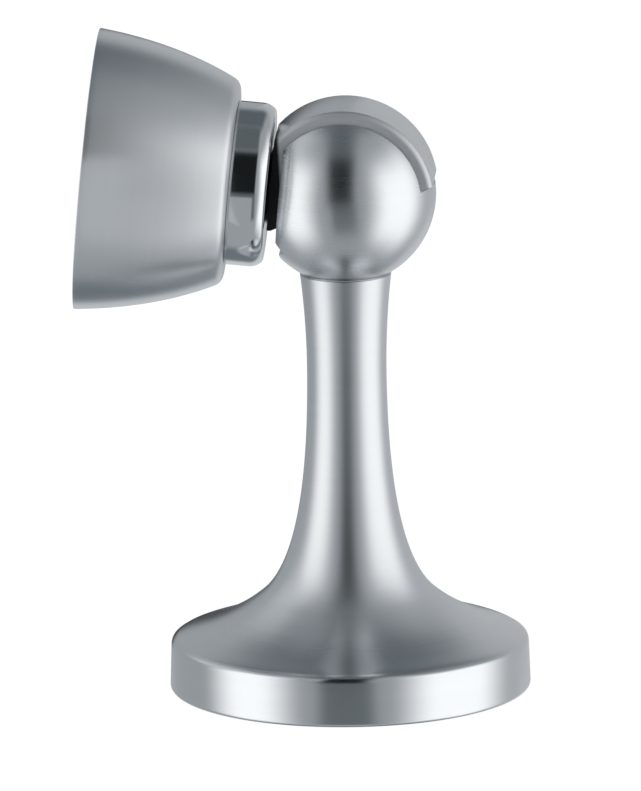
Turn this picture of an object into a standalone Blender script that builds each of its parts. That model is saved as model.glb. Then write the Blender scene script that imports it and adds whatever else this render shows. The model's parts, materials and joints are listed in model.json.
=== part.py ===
"""Magnetic door holder: a trumpet pedestal, a forked ball that swivels on its neck,
and a tilting head with a collar and a bell-shaped cup that holds a ring magnet.

The origin is the centre of the foot on the floor, +Z is up, and the cup opens towards -X.
The head's pieces are drawn along their own +Z, which points from the pivot to the cup's mouth.
"""

from math import acos, asin, atan2, cos, degrees, pi, radians, sin, sqrt, tan

import bmesh
import bpy

MM = 0.001

# Fits
SEAT_GAP = 0.3 * MM
RUNNING_GAP = 0.25 * MM
EDGE_ROUND = 0.3 * MM

# Foot and floor plate
FOOT_RADIUS = 25.0 * MM
FOOT_BOTTOM_ROUND = 0.6 * MM
FOOT_RIM_HEIGHT = 6.8 * MM
FOOT_RIM_DRAFT = 0.2 * MM
PLATE_RADIUS = 22.0 * MM
PLATE_THICKNESS = 3.8 * MM
PLATE_HOLES = 3
PLATE_HOLE_CIRCLE = 14.0 * MM
PLATE_HOLE_RADIUS = 2.25 * MM
PLATE_SINK_RADIUS = 4.3 * MM
STUD_RADIUS = 5.0 * MM
STUD_LENGTH = 9.8 * MM
STUD_CHAMFER = 0.9 * MM

# Pedestal stem
NECK_HEIGHT = 58.7 * MM
NECK_RADIUS = 6.33 * MM
NECK_FLARE = (0.6 * MM, 4.8 * MM)
NECK_WEB = 3.5 * MM
WAIST_HEIGHT = 45.3 * MM
WAIST_RADIUS = 5.5 * MM
WAIST_HANDLES = (3.6 * MM, 14.7 * MM)
FLARE_HEIGHT = 13.4 * MM
FLARE_RADIUS = 12.1 * MM
FLARE_SLOPE = 40.8
FLARE_HANDLES = (6.7 * MM, 7.8 * MM)
FLARE_LIP = (0.9 * MM, 1.05 * MM)
STEM_BORE_RADIUS = 3.8 * MM

# Neck screw and its washers
NECK_SCREW_RADIUS = 2.0 * MM
NECK_SCREW_SET_BACK = 0.35 * MM
NECK_SCREW_HEAD_RADIUS = 3.4 * MM
NECK_SCREW_HEAD_HEIGHT = 3.0 * MM
NECK_SOCKET_RADIUS = 1.7 * MM
NECK_SOCKET_DEPTH = 1.8 * MM
NECK_WASHER_RADIUS = 3.5 * MM
NECK_WASHER_THICKNESS = 0.8 * MM
SPRING_THICKNESS = 0.5 * MM
SPRING_RISE = 0.4 * MM

# Ball with its slot
BALL_RADIUS = 12.65 * MM
BALL_SEAT_RADIUS = 6.33 * MM
SLOT_HALF_WIDTH = 6.4 * MM
SLOT_RIGHT_END = 7.0
SLOT_LEFT_END = 221.0
SADDLE_RADIUS = 7.3 * MM
CHEEK_CLEARANCE = 1.7 * MM

# Pivot screw and friction washers
PIVOT_RADIUS = 3.0 * MM
PIVOT_THREAD_RADIUS = 2.4 * MM
PIVOT_THREAD_LENGTH = 3.4 * MM
PIVOT_HEAD_RADIUS = 4.2 * MM
PIVOT_HEAD_HEIGHT = 2.2 * MM
PIVOT_HEAD_SEAT = 8.6 * MM
PIVOT_SOCKET_RADIUS = 2.0 * MM
PIVOT_SOCKET_DEPTH = 1.5 * MM
FRICTION_WASHER_RADIUS = 5.5 * MM
FRICTION_WASHER_THICKNESS = 0.8 * MM

# Head: distances along its axis are from the pivot
HEAD_RISE = 5.6
TILT_RANGE = 15.0
STOP_MARGIN = 4.0
TONGUE_RADIUS = 12.65 * MM
SPIGOT_RADIUS = 5.0 * MM
COLLAR_START = 10.4 * MM
COLLAR_RADIUS = 11.35 * MM
COLLAR_LENGTH = 4.95 * MM
COLLAR_ROUND = 1.9 * MM
CUP_MOUTH_RADIUS = 19.5 * MM
CUP_LENGTH = 20.1 * MM
CUP_MOUTH_HANDLE = 4.5 * MM
CUP_BACK_RADIUS = 14.4 * MM
CUP_BACK_ROUND = 1.7 * MM
CUP_BACK_HANDLE = (7.1 * MM, 3.5 * MM)
CUP_WALL = 1.9 * MM
CUP_BACK_WALL = 2.4 * MM
CUP_BORE_RADIUS = 17.5 * MM
CUP_BORE_DEPTH = 6.1 * MM
CUP_GROOVE_DEPTH = 0.8 * MM

# Cup screw
CUP_SCREW_RADIUS = 2.4 * MM
CUP_SCREW_REACH = 7.5 * MM
CUP_SCREW_HEAD_RADIUS = 4.2 * MM
CUP_SCREW_HEAD_HEIGHT = 2.6 * MM
CUP_SOCKET_RADIUS = 2.0 * MM
CUP_SOCKET_DEPTH = 1.6 * MM
CUP_WASHER_RADIUS = 7.5 * MM
CUP_WASHER_THICKNESS = 1.0 * MM

# Magnet, its carrier and the rings round it
CARRIER_FLANGE_THICKNESS = 2.0 * MM
CARRIER_WALL = 1.2 * MM
CARRIER_FLOOR = 1.5 * MM
CARRIER_BOSS_RADIUS = 5.5 * MM
CARRIER_BOSS_LENGTH = 1.8 * MM
MAGNET_RADIUS = 12.0 * MM
MAGNET_THICKNESS = 5.0 * MM
MAGNET_RECESS = 1.8 * MM
YOKE_THICKNESS = 2.0 * MM
MAGNET_SCREW_RADIUS = 2.4 * MM
MAGNET_SCREW_HEAD_RADIUS = 4.8 * MM
BUFFER_STAND = 1.2 * MM
RETAINER_THICKNESS = 1.0 * MM
RETAINER_WIDTH = 1.4 * MM
RETAINER_OPENING_ANGLE = 12.0

# Facets
LARGE_FACETS = 40
SMALL_FACETS = 20
CURVE_POINTS = 7
FLARE_FACETS = 10
BALL_FACETS = 17
ARC_FACETS = 14
SECTOR_FACETS = 8
CORNER_FACETS = 4
SHARP_ANGLE = radians(35)

# Heights and places that follow from the sizes above
CEILING = PLATE_THICKNESS + SEAT_GAP
STUD_TOP = PLATE_THICKNESS + STUD_LENGTH
STUD_BORE_TOP = STUD_TOP + 2 * SEAT_GAP
WEB_BOTTOM = NECK_HEIGHT - NECK_WEB
BALL_BOTTOM = NECK_HEIGHT + SEAT_GAP
PIVOT_HEIGHT = BALL_BOTTOM + sqrt(BALL_RADIUS**2 - BALL_SEAT_RADIUS**2)
TONGUE_HALF_WIDTH = SLOT_HALF_WIDTH - SEAT_GAP
HUB_RADIUS = SADDLE_RADIUS - SEAT_GAP
HEAD_ANGLE = 180.0 - HEAD_RISE
CHEEK_FLAT = COLLAR_START - CHEEK_CLEARANCE
SHOULDER = COLLAR_START - SEAT_GAP
COLLAR_END = COLLAR_START + COLLAR_LENGTH
CUP_BACK = COLLAR_END + SEAT_GAP
CUP_INNER_BACK = CUP_BACK + CUP_BACK_WALL
CUP_RIM = CUP_BACK + CUP_LENGTH
CUP_LEDGE = CUP_RIM - CUP_BORE_DEPTH
CUP_WASHER_START = CUP_INNER_BACK + SEAT_GAP
CUP_SCREW_START = CUP_WASHER_START + CUP_WASHER_THICKNESS + SEAT_GAP
SPIGOT_END = CUP_INNER_BACK - SEAT_GAP
FLANGE_START = CUP_LEDGE + SEAT_GAP
FLANGE_END = FLANGE_START + CARRIER_FLANGE_THICKNESS
MAGNET_FACE = CUP_RIM - MAGNET_RECESS
MAGNET_START = MAGNET_FACE - MAGNET_THICKNESS
YOKE_START = MAGNET_START - SEAT_GAP - YOKE_THICKNESS
POCKET_FLOOR = YOKE_START - SEAT_GAP
POCKET_RADIUS = MAGNET_RADIUS + SEAT_GAP
CARRIER_START = POCKET_FLOOR - CARRIER_FLOOR
CARRIER_RADIUS = POCKET_RADIUS + CARRIER_WALL
RETAINER_START = FLANGE_END + SEAT_GAP
GROOVE_RADIUS = CUP_BORE_RADIUS + CUP_GROOVE_DEPTH
RETAINER_OUTER_RADIUS = GROOVE_RADIUS - SEAT_GAP
RETAINER_INNER_RADIUS = RETAINER_OUTER_RADIUS - RETAINER_WIDTH
BUFFER_RADIUS = RETAINER_INNER_RADIUS - SEAT_GAP


def clear_scene():
    for thing in list(bpy.data.objects):
        bpy.data.objects.remove(thing, do_unlink=True)


def new_collection(name):
    collection = bpy.data.collections.new(name)
    bpy.context.scene.collection.children.link(collection)
    return collection


def material(name, colour, roughness, metallic):
    made = bpy.data.materials.new(name)
    made.use_nodes = True
    shader = made.node_tree.nodes["Principled BSDF"]
    shader.inputs["Base Color"].default_value = (*colour, 1.0)
    shader.inputs["Roughness"].default_value = roughness
    shader.inputs["Metallic"].default_value = metallic
    made.diffuse_color = (*colour, 1.0)
    return made


def arc(centre, radius, start, end, count):
    """Points of a circle round centre, from the start angle to the end angle in degrees."""
    points = []
    for step in range(count + 1):
        angle = radians(start + (end - start) * step / count)
        points.append((centre[0] + radius * cos(angle), centre[1] + radius * sin(angle)))
    return points


def curve(start, first, second, end, count):
    """Points of a cubic curve from start to end with two handles, without its first point."""
    points = []
    for step in range(1, count + 1):
        t = step / count
        weights = ((1 - t) ** 3, 3 * t * (1 - t) ** 2, 3 * t * t * (1 - t), t**3)
        places = (start, first, second, end)
        points.append(tuple(sum(w * p[k] for w, p in zip(weights, places)) for k in (0, 1)))
    return points


def link(mesh, name, collection, finish, parent):
    thing = bpy.data.objects.new(name, mesh)
    collection.objects.link(thing)
    thing.parent = parent
    if finish is not None:
        mesh.materials.append(finish)
    return thing


def turned(name, outline, collection, finish=None, parent=None, facets=SMALL_FACETS):
    """A solid of revolution round its own Z axis.

    The outline is (radius, height) pairs that run down the outer side. An outline that
    starts on the axis stays open there, and any other one is closed into a ring.
    """
    mesh = bpy.data.meshes.new(name)
    corners = [(radius, 0.0, height) for radius, height in outline]
    edges = [(k, k + 1) for k in range(len(corners) - 1)]
    if outline[0][0] > 0:
        edges.append((len(corners) - 1, 0))
    mesh.from_pydata(corners, edges, [])
    thing = link(mesh, name, collection, finish, parent)
    screw = thing.modifiers.new("Turn", "SCREW")
    screw.axis = "Z"
    screw.steps = facets
    screw.render_steps = facets
    screw.use_merge_vertices = True
    screw.merge_threshold = 0.001 * MM
    screw.use_smooth_shade = False
    return thing


def prism(name, outline, half_width, collection, finish=None, parent=None):
    """An outline of (x, z) pairs, counter-clockwise seen from -Y, extruded along Y both ways."""
    mesh = bpy.data.meshes.new(name)
    form = bmesh.new()
    corners = [form.verts.new((x, -half_width, z)) for x, z in outline]
    face = form.faces.new(corners)
    grown = bmesh.ops.extrude_face_region(form, geom=[face], use_keep_orig=True)
    moved = [item for item in grown["geom"] if isinstance(item, bmesh.types.BMVert)]
    bmesh.ops.translate(form, verts=moved, vec=(0.0, 2 * half_width, 0.0))
    bmesh.ops.recalc_face_normals(form, faces=form.faces)
    form.to_mesh(mesh)
    form.free()
    return link(mesh, name, collection, finish, parent)


def hide_tool(thing):
    thing.hide_render = True
    thing.display_type = "WIRE"
    return thing


def combine(thing, tool, operation):
    step = thing.modifiers.new(tool.name, "BOOLEAN")
    step.operation = operation
    step.solver = "EXACT"
    step.object = hide_tool(tool)


def soften(thing, width=EDGE_ROUND):
    bevel = thing.modifiers.new("Edges", "BEVEL")
    bevel.width = width
    bevel.segments = 1
    bevel.limit_method = "ANGLE"
    bevel.angle_limit = SHARP_ANGLE


def rod(top, bottom, radius):
    """The outline of a plain cylinder."""
    return [(0.0, top), (radius, top), (radius, bottom), (0.0, bottom)]


def ring(top, bottom, outer, inner, chamfer=0.0):
    """The outline of a ring with chamfered outer edges."""
    outline = [(inner, top), (outer - chamfer, top)]
    if chamfer > 0:
        outline += [(outer, top - chamfer), (outer, bottom + chamfer)]
    else:
        outline.append((outer, top))
    if chamfer > 0:
        outline.append((outer - chamfer, bottom))
    else:
        outline.append((outer, bottom))
    outline.append((inner, bottom))
    return outline


def hex_socket(name, radius, top, bottom, tools, parent=None):
    """A six-sided cutter for a screw's key, its corners at the radius."""
    return turned(name, rod(top, bottom, radius), tools, parent=parent, facets=6)


def stem_outline():
    """The pedestal's outer side from the neck to the foot's bottom edge."""
    slope = radians(FLARE_SLOPE)
    neck = (NECK_RADIUS, NECK_HEIGHT)
    waist = (WAIST_RADIUS, WAIST_HEIGHT)
    flare = (FLARE_RADIUS, FLARE_HEIGHT)
    crease = (FOOT_RADIUS - FOOT_RIM_DRAFT, FOOT_RIM_HEIGHT)
    into, out = FLARE_HANDLES
    outline = [neck]
    outline += curve(
        neck,
        (NECK_RADIUS - NECK_FLARE[0], NECK_HEIGHT - NECK_FLARE[1]),
        (WAIST_RADIUS, WAIST_HEIGHT + WAIST_HANDLES[0]),
        waist,
        CURVE_POINTS,
    )
    outline += curve(
        waist,
        (WAIST_RADIUS, WAIST_HEIGHT - WAIST_HANDLES[1]),
        (FLARE_RADIUS - into * cos(slope), FLARE_HEIGHT + into * sin(slope)),
        flare,
        FLARE_FACETS,
    )
    outline += curve(
        flare,
        (FLARE_RADIUS + out * cos(slope), FLARE_HEIGHT - out * sin(slope)),
        (crease[0] - FLARE_LIP[0], crease[1] + FLARE_LIP[1]),
        crease,
        CURVE_POINTS,
    )
    corner = (FOOT_RADIUS - FOOT_BOTTOM_ROUND, FOOT_BOTTOM_ROUND)
    outline += arc(corner, FOOT_BOTTOM_ROUND, 0, -90, CORNER_FACETS)
    return outline


def make_pedestal(parts, finish):
    recess = PLATE_RADIUS + SEAT_GAP
    stud_bore = STUD_RADIUS + SEAT_GAP
    screw_hole = NECK_SCREW_RADIUS + SEAT_GAP
    inside = [
        (recess, 0.0),
        (recess, CEILING),
        (stud_bore + STUD_CHAMFER, CEILING),
        (stud_bore, CEILING + STUD_CHAMFER),
        (stud_bore, STUD_BORE_TOP),
        (STEM_BORE_RADIUS, STUD_BORE_TOP + stud_bore - STEM_BORE_RADIUS),
        (STEM_BORE_RADIUS, WEB_BOTTOM),
        (screw_hole, WEB_BOTTOM),
        (screw_hole, NECK_HEIGHT),
    ]
    turned("pedestal", stem_outline() + inside, parts, finish, facets=LARGE_FACETS)


def make_floor_plate(parts, tools, finish):
    outline = [
        (0.0, STUD_TOP),
        (STUD_RADIUS - STUD_CHAMFER, STUD_TOP),
        (STUD_RADIUS, STUD_TOP - STUD_CHAMFER),
        (STUD_RADIUS, PLATE_THICKNESS),
        (PLATE_RADIUS - EDGE_ROUND, PLATE_THICKNESS),
        (PLATE_RADIUS, PLATE_THICKNESS - EDGE_ROUND),
        (PLATE_RADIUS, 0.0),
        (0.0, 0.0),
    ]
    plate = turned("floor_plate", outline, parts, finish, facets=LARGE_FACETS)
    sink = PLATE_SINK_RADIUS - PLATE_HOLE_RADIUS
    hole = [
        (0.0, PLATE_THICKNESS + sink),
        (PLATE_SINK_RADIUS + sink, PLATE_THICKNESS + sink),
        (PLATE_HOLE_RADIUS, PLATE_THICKNESS - sink),
        (PLATE_HOLE_RADIUS, -sink),
        (0.0, -sink),
    ]
    for index in range(PLATE_HOLES):
        angle = 2 * pi * (index + 0.5) / PLATE_HOLES
        cutter = turned(f"plate_hole_{index + 1}", hole, tools)
        cutter.location = (PLATE_HOLE_CIRCLE * cos(angle), PLATE_HOLE_CIRCLE * sin(angle), 0.0)
        combine(plate, cutter, "DIFFERENCE")


def make_neck_hardware(parts, tools, steel, spring_steel):
    washer_top = WEB_BOTTOM - SEAT_GAP
    washer_bottom = washer_top - NECK_WASHER_THICKNESS
    hole = NECK_SCREW_RADIUS + SEAT_GAP
    flat = ring(washer_top, washer_bottom, NECK_WASHER_RADIUS, hole)
    turned("neck_washer", flat, parts, steel)

    spring_top = washer_bottom - SEAT_GAP
    spring_bottom = spring_top - SPRING_RISE - SPRING_THICKNESS
    cone = [
        (hole, spring_top),
        (NECK_WASHER_RADIUS, spring_top - SPRING_RISE),
        (NECK_WASHER_RADIUS, spring_bottom),
        (hole, spring_top - SPRING_THICKNESS),
    ]
    turned("neck_spring_washer", cone, parts, spring_steel)

    head_top = spring_bottom - SEAT_GAP
    head_bottom = head_top - NECK_SCREW_HEAD_HEIGHT
    tip = PIVOT_HEIGHT - SADDLE_RADIUS - NECK_SCREW_SET_BACK
    outline = [
        (0.0, tip),
        (NECK_SCREW_RADIUS - EDGE_ROUND, tip),
        (NECK_SCREW_RADIUS, tip - EDGE_ROUND),
        (NECK_SCREW_RADIUS, head_top),
        (NECK_SCREW_HEAD_RADIUS, head_top),
        (NECK_SCREW_HEAD_RADIUS, head_bottom + EDGE_ROUND),
        (NECK_SCREW_HEAD_RADIUS - EDGE_ROUND, head_bottom),
        (0.0, head_bottom),
    ]
    screw = turned("neck_screw", outline, parts, steel)
    socket_top = head_bottom + NECK_SOCKET_DEPTH
    socket_bottom = head_bottom - NECK_SOCKET_DEPTH
    key = hex_socket("neck_key", NECK_SOCKET_RADIUS, socket_top, socket_bottom, tools)
    combine(screw, key, "DIFFERENCE")


def slot_outline():
    """The slot seen from the front: an open sector over the ball and a round saddle below the pin."""
    reach = 2 * BALL_RADIUS
    saddle = arc((0, 0), SADDLE_RADIUS, SLOT_LEFT_END, SLOT_RIGHT_END + 360, ARC_FACETS)
    sector = arc((0, 0), reach, SLOT_RIGHT_END, SLOT_LEFT_END, SECTOR_FACETS)
    return saddle + sector


def make_fork_ball(parts, tools, pivot, head, finish):
    """Cut flat where the cheeks face the collar, and again at the foot of them where it comes down."""
    bottom = BALL_BOTTOM - PIVOT_HEIGHT
    seat_angle = degrees(asin(BALL_SEAT_RADIUS / BALL_RADIUS)) - 90
    screw_hole = NECK_SCREW_RADIUS + SEAT_GAP
    ball = arc((0, 0), BALL_RADIUS, 90, seat_angle, BALL_FACETS)
    outline = [(0.0, BALL_RADIUS)] + ball[1:] + [(0.0, bottom)]
    fork = turned("fork_ball", outline, parts, finish, pivot, LARGE_FACETS)
    combine(fork, prism("slot", slot_outline(), SLOT_HALF_WIDTH, tools, parent=pivot), "DIFFERENCE")
    relief = turned("cheek_relief", rod(2 * BALL_RADIUS, CHEEK_FLAT, BALL_RADIUS), tools, parent=head)
    combine(fork, relief, "DIFFERENCE")
    sweep = rod(2 * BALL_RADIUS, SHOULDER, BALL_RADIUS)
    lowered = turned("collar_sweep", sweep, tools, parent=pivot)
    lowered.rotation_euler = (0.0, radians(HEAD_RISE - TILT_RANGE - 90.0), 0.0)
    combine(fork, lowered, "DIFFERENCE")

    hole = turned("neck_screw_hole", rod(0.0, 2 * bottom, screw_hole), tools, parent=pivot)
    combine(fork, hole, "DIFFERENCE")

    thread_hole = PIVOT_THREAD_RADIUS + SEAT_GAP
    thread_end = -SLOT_HALF_WIDTH - PIVOT_THREAD_LENGTH - SEAT_GAP
    head_hole = PIVOT_HEAD_RADIUS + SEAT_GAP
    bore = PIVOT_RADIUS + RUNNING_GAP
    stepped = [
        (0.0, 2 * BALL_RADIUS),
        (head_hole, 2 * BALL_RADIUS),
        (head_hole, PIVOT_HEAD_SEAT),
        (bore, PIVOT_HEAD_SEAT),
        (bore, 0.0),
        (thread_hole, 0.0),
        (thread_hole, thread_end),
        (0.0, thread_end),
    ]
    drill = turned("pivot_holes", stepped, tools, parent=pivot)
    drill.rotation_euler = (radians(-90), 0.0, 0.0)
    combine(fork, drill, "DIFFERENCE")


def make_pivot_hardware(parts, tools, pivot, steel, plastic):
    """The shoulder screw enters from behind, and its thread ends inside the front cheek."""
    head_start = PIVOT_HEAD_SEAT + SEAT_GAP
    head_end = head_start + PIVOT_HEAD_HEIGHT
    shoulder_end = RUNNING_GAP - SLOT_HALF_WIDTH
    tip = -SLOT_HALF_WIDTH - PIVOT_THREAD_LENGTH
    outline = [
        (0.0, head_end),
        (PIVOT_HEAD_RADIUS - EDGE_ROUND, head_end),
        (PIVOT_HEAD_RADIUS, head_end - EDGE_ROUND),
        (PIVOT_HEAD_RADIUS, head_start),
        (PIVOT_RADIUS, head_start),
        (PIVOT_RADIUS, shoulder_end),
        (PIVOT_THREAD_RADIUS, shoulder_end),
        (PIVOT_THREAD_RADIUS, tip),
        (0.0, tip),
    ]
    screw = turned("pivot_screw", outline, parts, steel, pivot)
    screw.rotation_euler = (radians(-90), 0.0, 0.0)
    key_start = head_end - PIVOT_SOCKET_DEPTH
    key_end = head_end + PIVOT_SOCKET_DEPTH
    key = hex_socket("pivot_key", PIVOT_SOCKET_RADIUS, key_end, key_start, tools, pivot)
    key.rotation_euler = (radians(-90), 0.0, 0.0)
    combine(screw, key, "DIFFERENCE")

    outer = SLOT_HALF_WIDTH - SEAT_GAP
    flat = ring(outer, outer - FRICTION_WASHER_THICKNESS, FRICTION_WASHER_RADIUS, PIVOT_RADIUS + RUNNING_GAP)
    for name, turn in (("friction_washer_rear", -90), ("friction_washer_front", 90)):
        washer = turned(name, flat, parts, plastic, pivot)
        washer.rotation_euler = (radians(turn), 0.0, 0.0)


def tongue_outline():
    """The knuckle seen from the front: a sector of a disc, cut flat at the collar, on a round hub."""
    gap_angle = degrees(SEAT_GAP / SADDLE_RADIUS)
    right_end = SLOT_RIGHT_END + gap_angle
    top_left = HEAD_ANGLE - degrees(acos(SHOULDER / TONGUE_RADIUS))
    low = SLOT_LEFT_END - TILT_RANGE - STOP_MARGIN
    below = radians(low - HEAD_ANGLE)
    heading = radians(HEAD_ANGLE)

    def along(distance, drop):
        """A point at a distance along the head's axis and a drop under it."""
        return (
            distance * cos(heading) - drop * sin(heading),
            distance * sin(heading) + drop * cos(heading),
        )

    rim = arc((0, 0), TONGUE_RADIUS, right_end, top_left, ARC_FACETS)
    flats = [along(SHOULDER, SPIGOT_RADIUS), along(SPIGOT_RADIUS / tan(below), SPIGOT_RADIUS)]
    hub = arc((0, 0), HUB_RADIUS, low, right_end + 360, ARC_FACETS)
    return rim + flats + hub


def make_knuckle(parts, tools, pivot, head, finish):
    knuckle = prism("knuckle", tongue_outline(), TONGUE_HALF_WIDTH, parts, finish, pivot)
    soften(knuckle)

    overlap = 2 * EDGE_ROUND
    spigot = turned("spigot", rod(SPIGOT_END, SHOULDER - overlap, SPIGOT_RADIUS), tools, parent=head)
    combine(knuckle, spigot, "UNION")

    recess = FRICTION_WASHER_RADIUS + SEAT_GAP
    recess_floor = SLOT_HALF_WIDTH - 2 * SEAT_GAP - FRICTION_WASHER_THICKNESS
    bore = PIVOT_RADIUS + RUNNING_GAP
    reach = 2 * SLOT_HALF_WIDTH
    stepped = [
        (0.0, reach),
        (recess, reach),
        (recess, recess_floor),
        (bore, recess_floor),
        (bore, -recess_floor),
        (recess, -recess_floor),
        (recess, -reach),
        (0.0, -reach),
    ]
    drill = turned("knuckle_bore", stepped, tools, parent=pivot)
    drill.rotation_euler = (radians(-90), 0.0, 0.0)
    combine(knuckle, drill, "DIFFERENCE")

    depth = SPIGOT_END - CUP_SCREW_REACH - SEAT_GAP
    tapped = rod(CUP_RIM, depth, CUP_SCREW_RADIUS + SEAT_GAP)
    combine(knuckle, turned("spigot_hole", tapped, tools, parent=head), "DIFFERENCE")


def make_collar(parts, head, finish):
    bore = SPIGOT_RADIUS + SEAT_GAP
    centre = (COLLAR_RADIUS - COLLAR_ROUND, COLLAR_START + COLLAR_ROUND)
    outline = [(bore, COLLAR_END), (COLLAR_RADIUS - EDGE_ROUND, COLLAR_END)]
    outline.append((COLLAR_RADIUS, COLLAR_END - EDGE_ROUND))
    outline += arc(centre, COLLAR_ROUND, 0, -90, CORNER_FACETS + 1)
    outline.append((bore, COLLAR_START))
    turned("collar", outline, parts, finish, head, LARGE_FACETS)


def bell(mouth_radius, back_radius, count):
    """The bell's side from the mouth down to the corner of its back."""
    mouth = (mouth_radius, CUP_RIM)
    back = (back_radius, CUP_BACK + CUP_BACK_ROUND)
    return [mouth] + curve(
        mouth,
        (mouth_radius, CUP_RIM - CUP_MOUTH_HANDLE),
        (back_radius + CUP_BACK_HANDLE[1], back[1] + CUP_BACK_HANDLE[0]),
        back,
        count,
    )


def make_cup(parts, head, finish):
    side = bell(CUP_MOUTH_RADIUS, CUP_BACK_RADIUS, FLARE_FACETS)
    lower = side[-1]
    lean = atan2(side[-2][0] - lower[0], side[-2][1] - lower[1])
    centre = (lower[0] - CUP_BACK_ROUND * cos(lean), lower[1] + CUP_BACK_ROUND * sin(lean))
    drop = centre[1] - CUP_BACK_ROUND - CUP_BACK
    outline = side[:-1]
    outline += [(r, u - drop) for r, u in arc(centre, CUP_BACK_ROUND, -degrees(lean), -90, CORNER_FACETS)]

    groove_top = RETAINER_START + RETAINER_THICKNESS + SEAT_GAP
    groove_bottom = RETAINER_START - SEAT_GAP
    walls = [
        (r, u)
        for r, u in bell(CUP_MOUTH_RADIUS - CUP_WALL, CUP_BACK_RADIUS - CUP_WALL, CURVE_POINTS)
        if CUP_INNER_BACK + CUP_BACK_ROUND < u < CUP_LEDGE - CUP_WALL
    ]
    ledge = walls[0][0]
    inside = [
        (SPIGOT_RADIUS + SEAT_GAP, CUP_BACK),
        (SPIGOT_RADIUS + SEAT_GAP, CUP_INNER_BACK),
        (walls[-1][0] - CUP_WALL, CUP_INNER_BACK),
    ]
    inside += reversed(walls)
    inside += [
        (ledge, CUP_LEDGE),
        (CUP_BORE_RADIUS, CUP_LEDGE),
        (CUP_BORE_RADIUS, groove_bottom),
        (GROOVE_RADIUS, groove_bottom),
        (GROOVE_RADIUS, groove_top),
        (CUP_BORE_RADIUS, groove_top),
        (CUP_BORE_RADIUS, CUP_RIM),
    ]
    turned("cup", outline + inside, parts, finish, head, LARGE_FACETS)


def make_cup_hardware(parts, tools, head, steel):
    start = CUP_WASHER_START
    hole = CUP_SCREW_RADIUS + SEAT_GAP
    flat = ring(start + CUP_WASHER_THICKNESS, start, CUP_WASHER_RADIUS, hole)
    turned("cup_washer", flat, parts, steel, head)

    head_end = CUP_SCREW_START + CUP_SCREW_HEAD_HEIGHT
    tip = SPIGOT_END - CUP_SCREW_REACH
    outline = [
        (0.0, head_end),
        (CUP_SCREW_HEAD_RADIUS - EDGE_ROUND, head_end),
        (CUP_SCREW_HEAD_RADIUS, head_end - EDGE_ROUND),
        (CUP_SCREW_HEAD_RADIUS, CUP_SCREW_START),
        (CUP_SCREW_RADIUS, CUP_SCREW_START),
        (CUP_SCREW_RADIUS, tip),
        (0.0, tip),
    ]
    screw = turned("cup_screw", outline, parts, steel, head)
    key_end = head_end + CUP_SOCKET_DEPTH
    key = hex_socket("cup_key", CUP_SOCKET_RADIUS, key_end, head_end - CUP_SOCKET_DEPTH, tools, head)
    combine(screw, key, "DIFFERENCE")


def make_magnet_carrier(parts, head, finish):
    hole = MAGNET_SCREW_RADIUS + SEAT_GAP
    flange = CUP_BORE_RADIUS - SEAT_GAP
    boss_start = CARRIER_START - CARRIER_BOSS_LENGTH
    outline = [
        (POCKET_RADIUS, MAGNET_FACE),
        (CARRIER_RADIUS, MAGNET_FACE),
        (CARRIER_RADIUS, FLANGE_END),
        (flange, FLANGE_END),
        (flange, FLANGE_START),
        (CARRIER_RADIUS, FLANGE_START),
        (CARRIER_RADIUS, CARRIER_START),
        (CARRIER_BOSS_RADIUS, CARRIER_START),
        (CARRIER_BOSS_RADIUS, boss_start),
        (hole, boss_start),
        (hole, POCKET_FLOOR),
        (POCKET_RADIUS, POCKET_FLOOR),
    ]
    turned("magnet_carrier", outline, parts, finish, head, LARGE_FACETS)


def make_magnet(parts, head, steel, magnet_finish, screw_finish):
    hole = MAGNET_SCREW_RADIUS + SEAT_GAP
    sink = MAGNET_SCREW_HEAD_RADIUS - MAGNET_SCREW_RADIUS
    sunk = MAGNET_SCREW_HEAD_RADIUS + SEAT_GAP
    yoke = ring(YOKE_START + YOKE_THICKNESS, YOKE_START, MAGNET_RADIUS, hole)
    turned("magnet_yoke", yoke, parts, steel, head)

    rim = MAGNET_RADIUS - EDGE_ROUND
    outline = [
        (sunk, MAGNET_FACE),
        (rim, MAGNET_FACE),
        (MAGNET_RADIUS, MAGNET_FACE - EDGE_ROUND),
        (MAGNET_RADIUS, MAGNET_START),
        (hole, MAGNET_START),
        (hole, MAGNET_FACE - sink),
    ]
    turned("magnet", outline, parts, magnet_finish, head, LARGE_FACETS)

    top = MAGNET_FACE - EDGE_ROUND
    tip = CARRIER_START - CARRIER_BOSS_LENGTH + SEAT_GAP
    screw = [
        (0.0, top),
        (MAGNET_SCREW_HEAD_RADIUS - EDGE_ROUND, top),
        (MAGNET_SCREW_RADIUS, top - sink + EDGE_ROUND),
        (MAGNET_SCREW_RADIUS, tip),
        (0.0, tip),
    ]
    turned("magnet_screw", screw, parts, screw_finish, head)


def make_mouth_rings(parts, tools, head, rubber, spring_steel):
    base = FLANGE_END + SEAT_GAP
    top = MAGNET_FACE + BUFFER_STAND
    inner = CARRIER_RADIUS + SEAT_GAP
    flat = ring(top, base, BUFFER_RADIUS, inner, EDGE_ROUND)
    turned("buffer_ring", flat, parts, rubber, head, LARGE_FACETS)

    end = RETAINER_START + RETAINER_THICKNESS
    snap = ring(end, RETAINER_START, RETAINER_OUTER_RADIUS, RETAINER_INNER_RADIUS)
    retainer = turned("retaining_ring", snap, parts, spring_steel, head, LARGE_FACETS)
    reach = 2 * RETAINER_OUTER_RADIUS
    opening = [(0.0, 0.0)] + arc((0, 0), reach, -RETAINER_OPENING_ANGLE / 2, RETAINER_OPENING_ANGLE / 2, 1)
    gap = prism("retainer_gap", opening, CUP_RIM, tools, parent=head)
    gap.rotation_euler = (radians(90), 0.0, 0.0)
    combine(retainer, gap, "DIFFERENCE")


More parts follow.
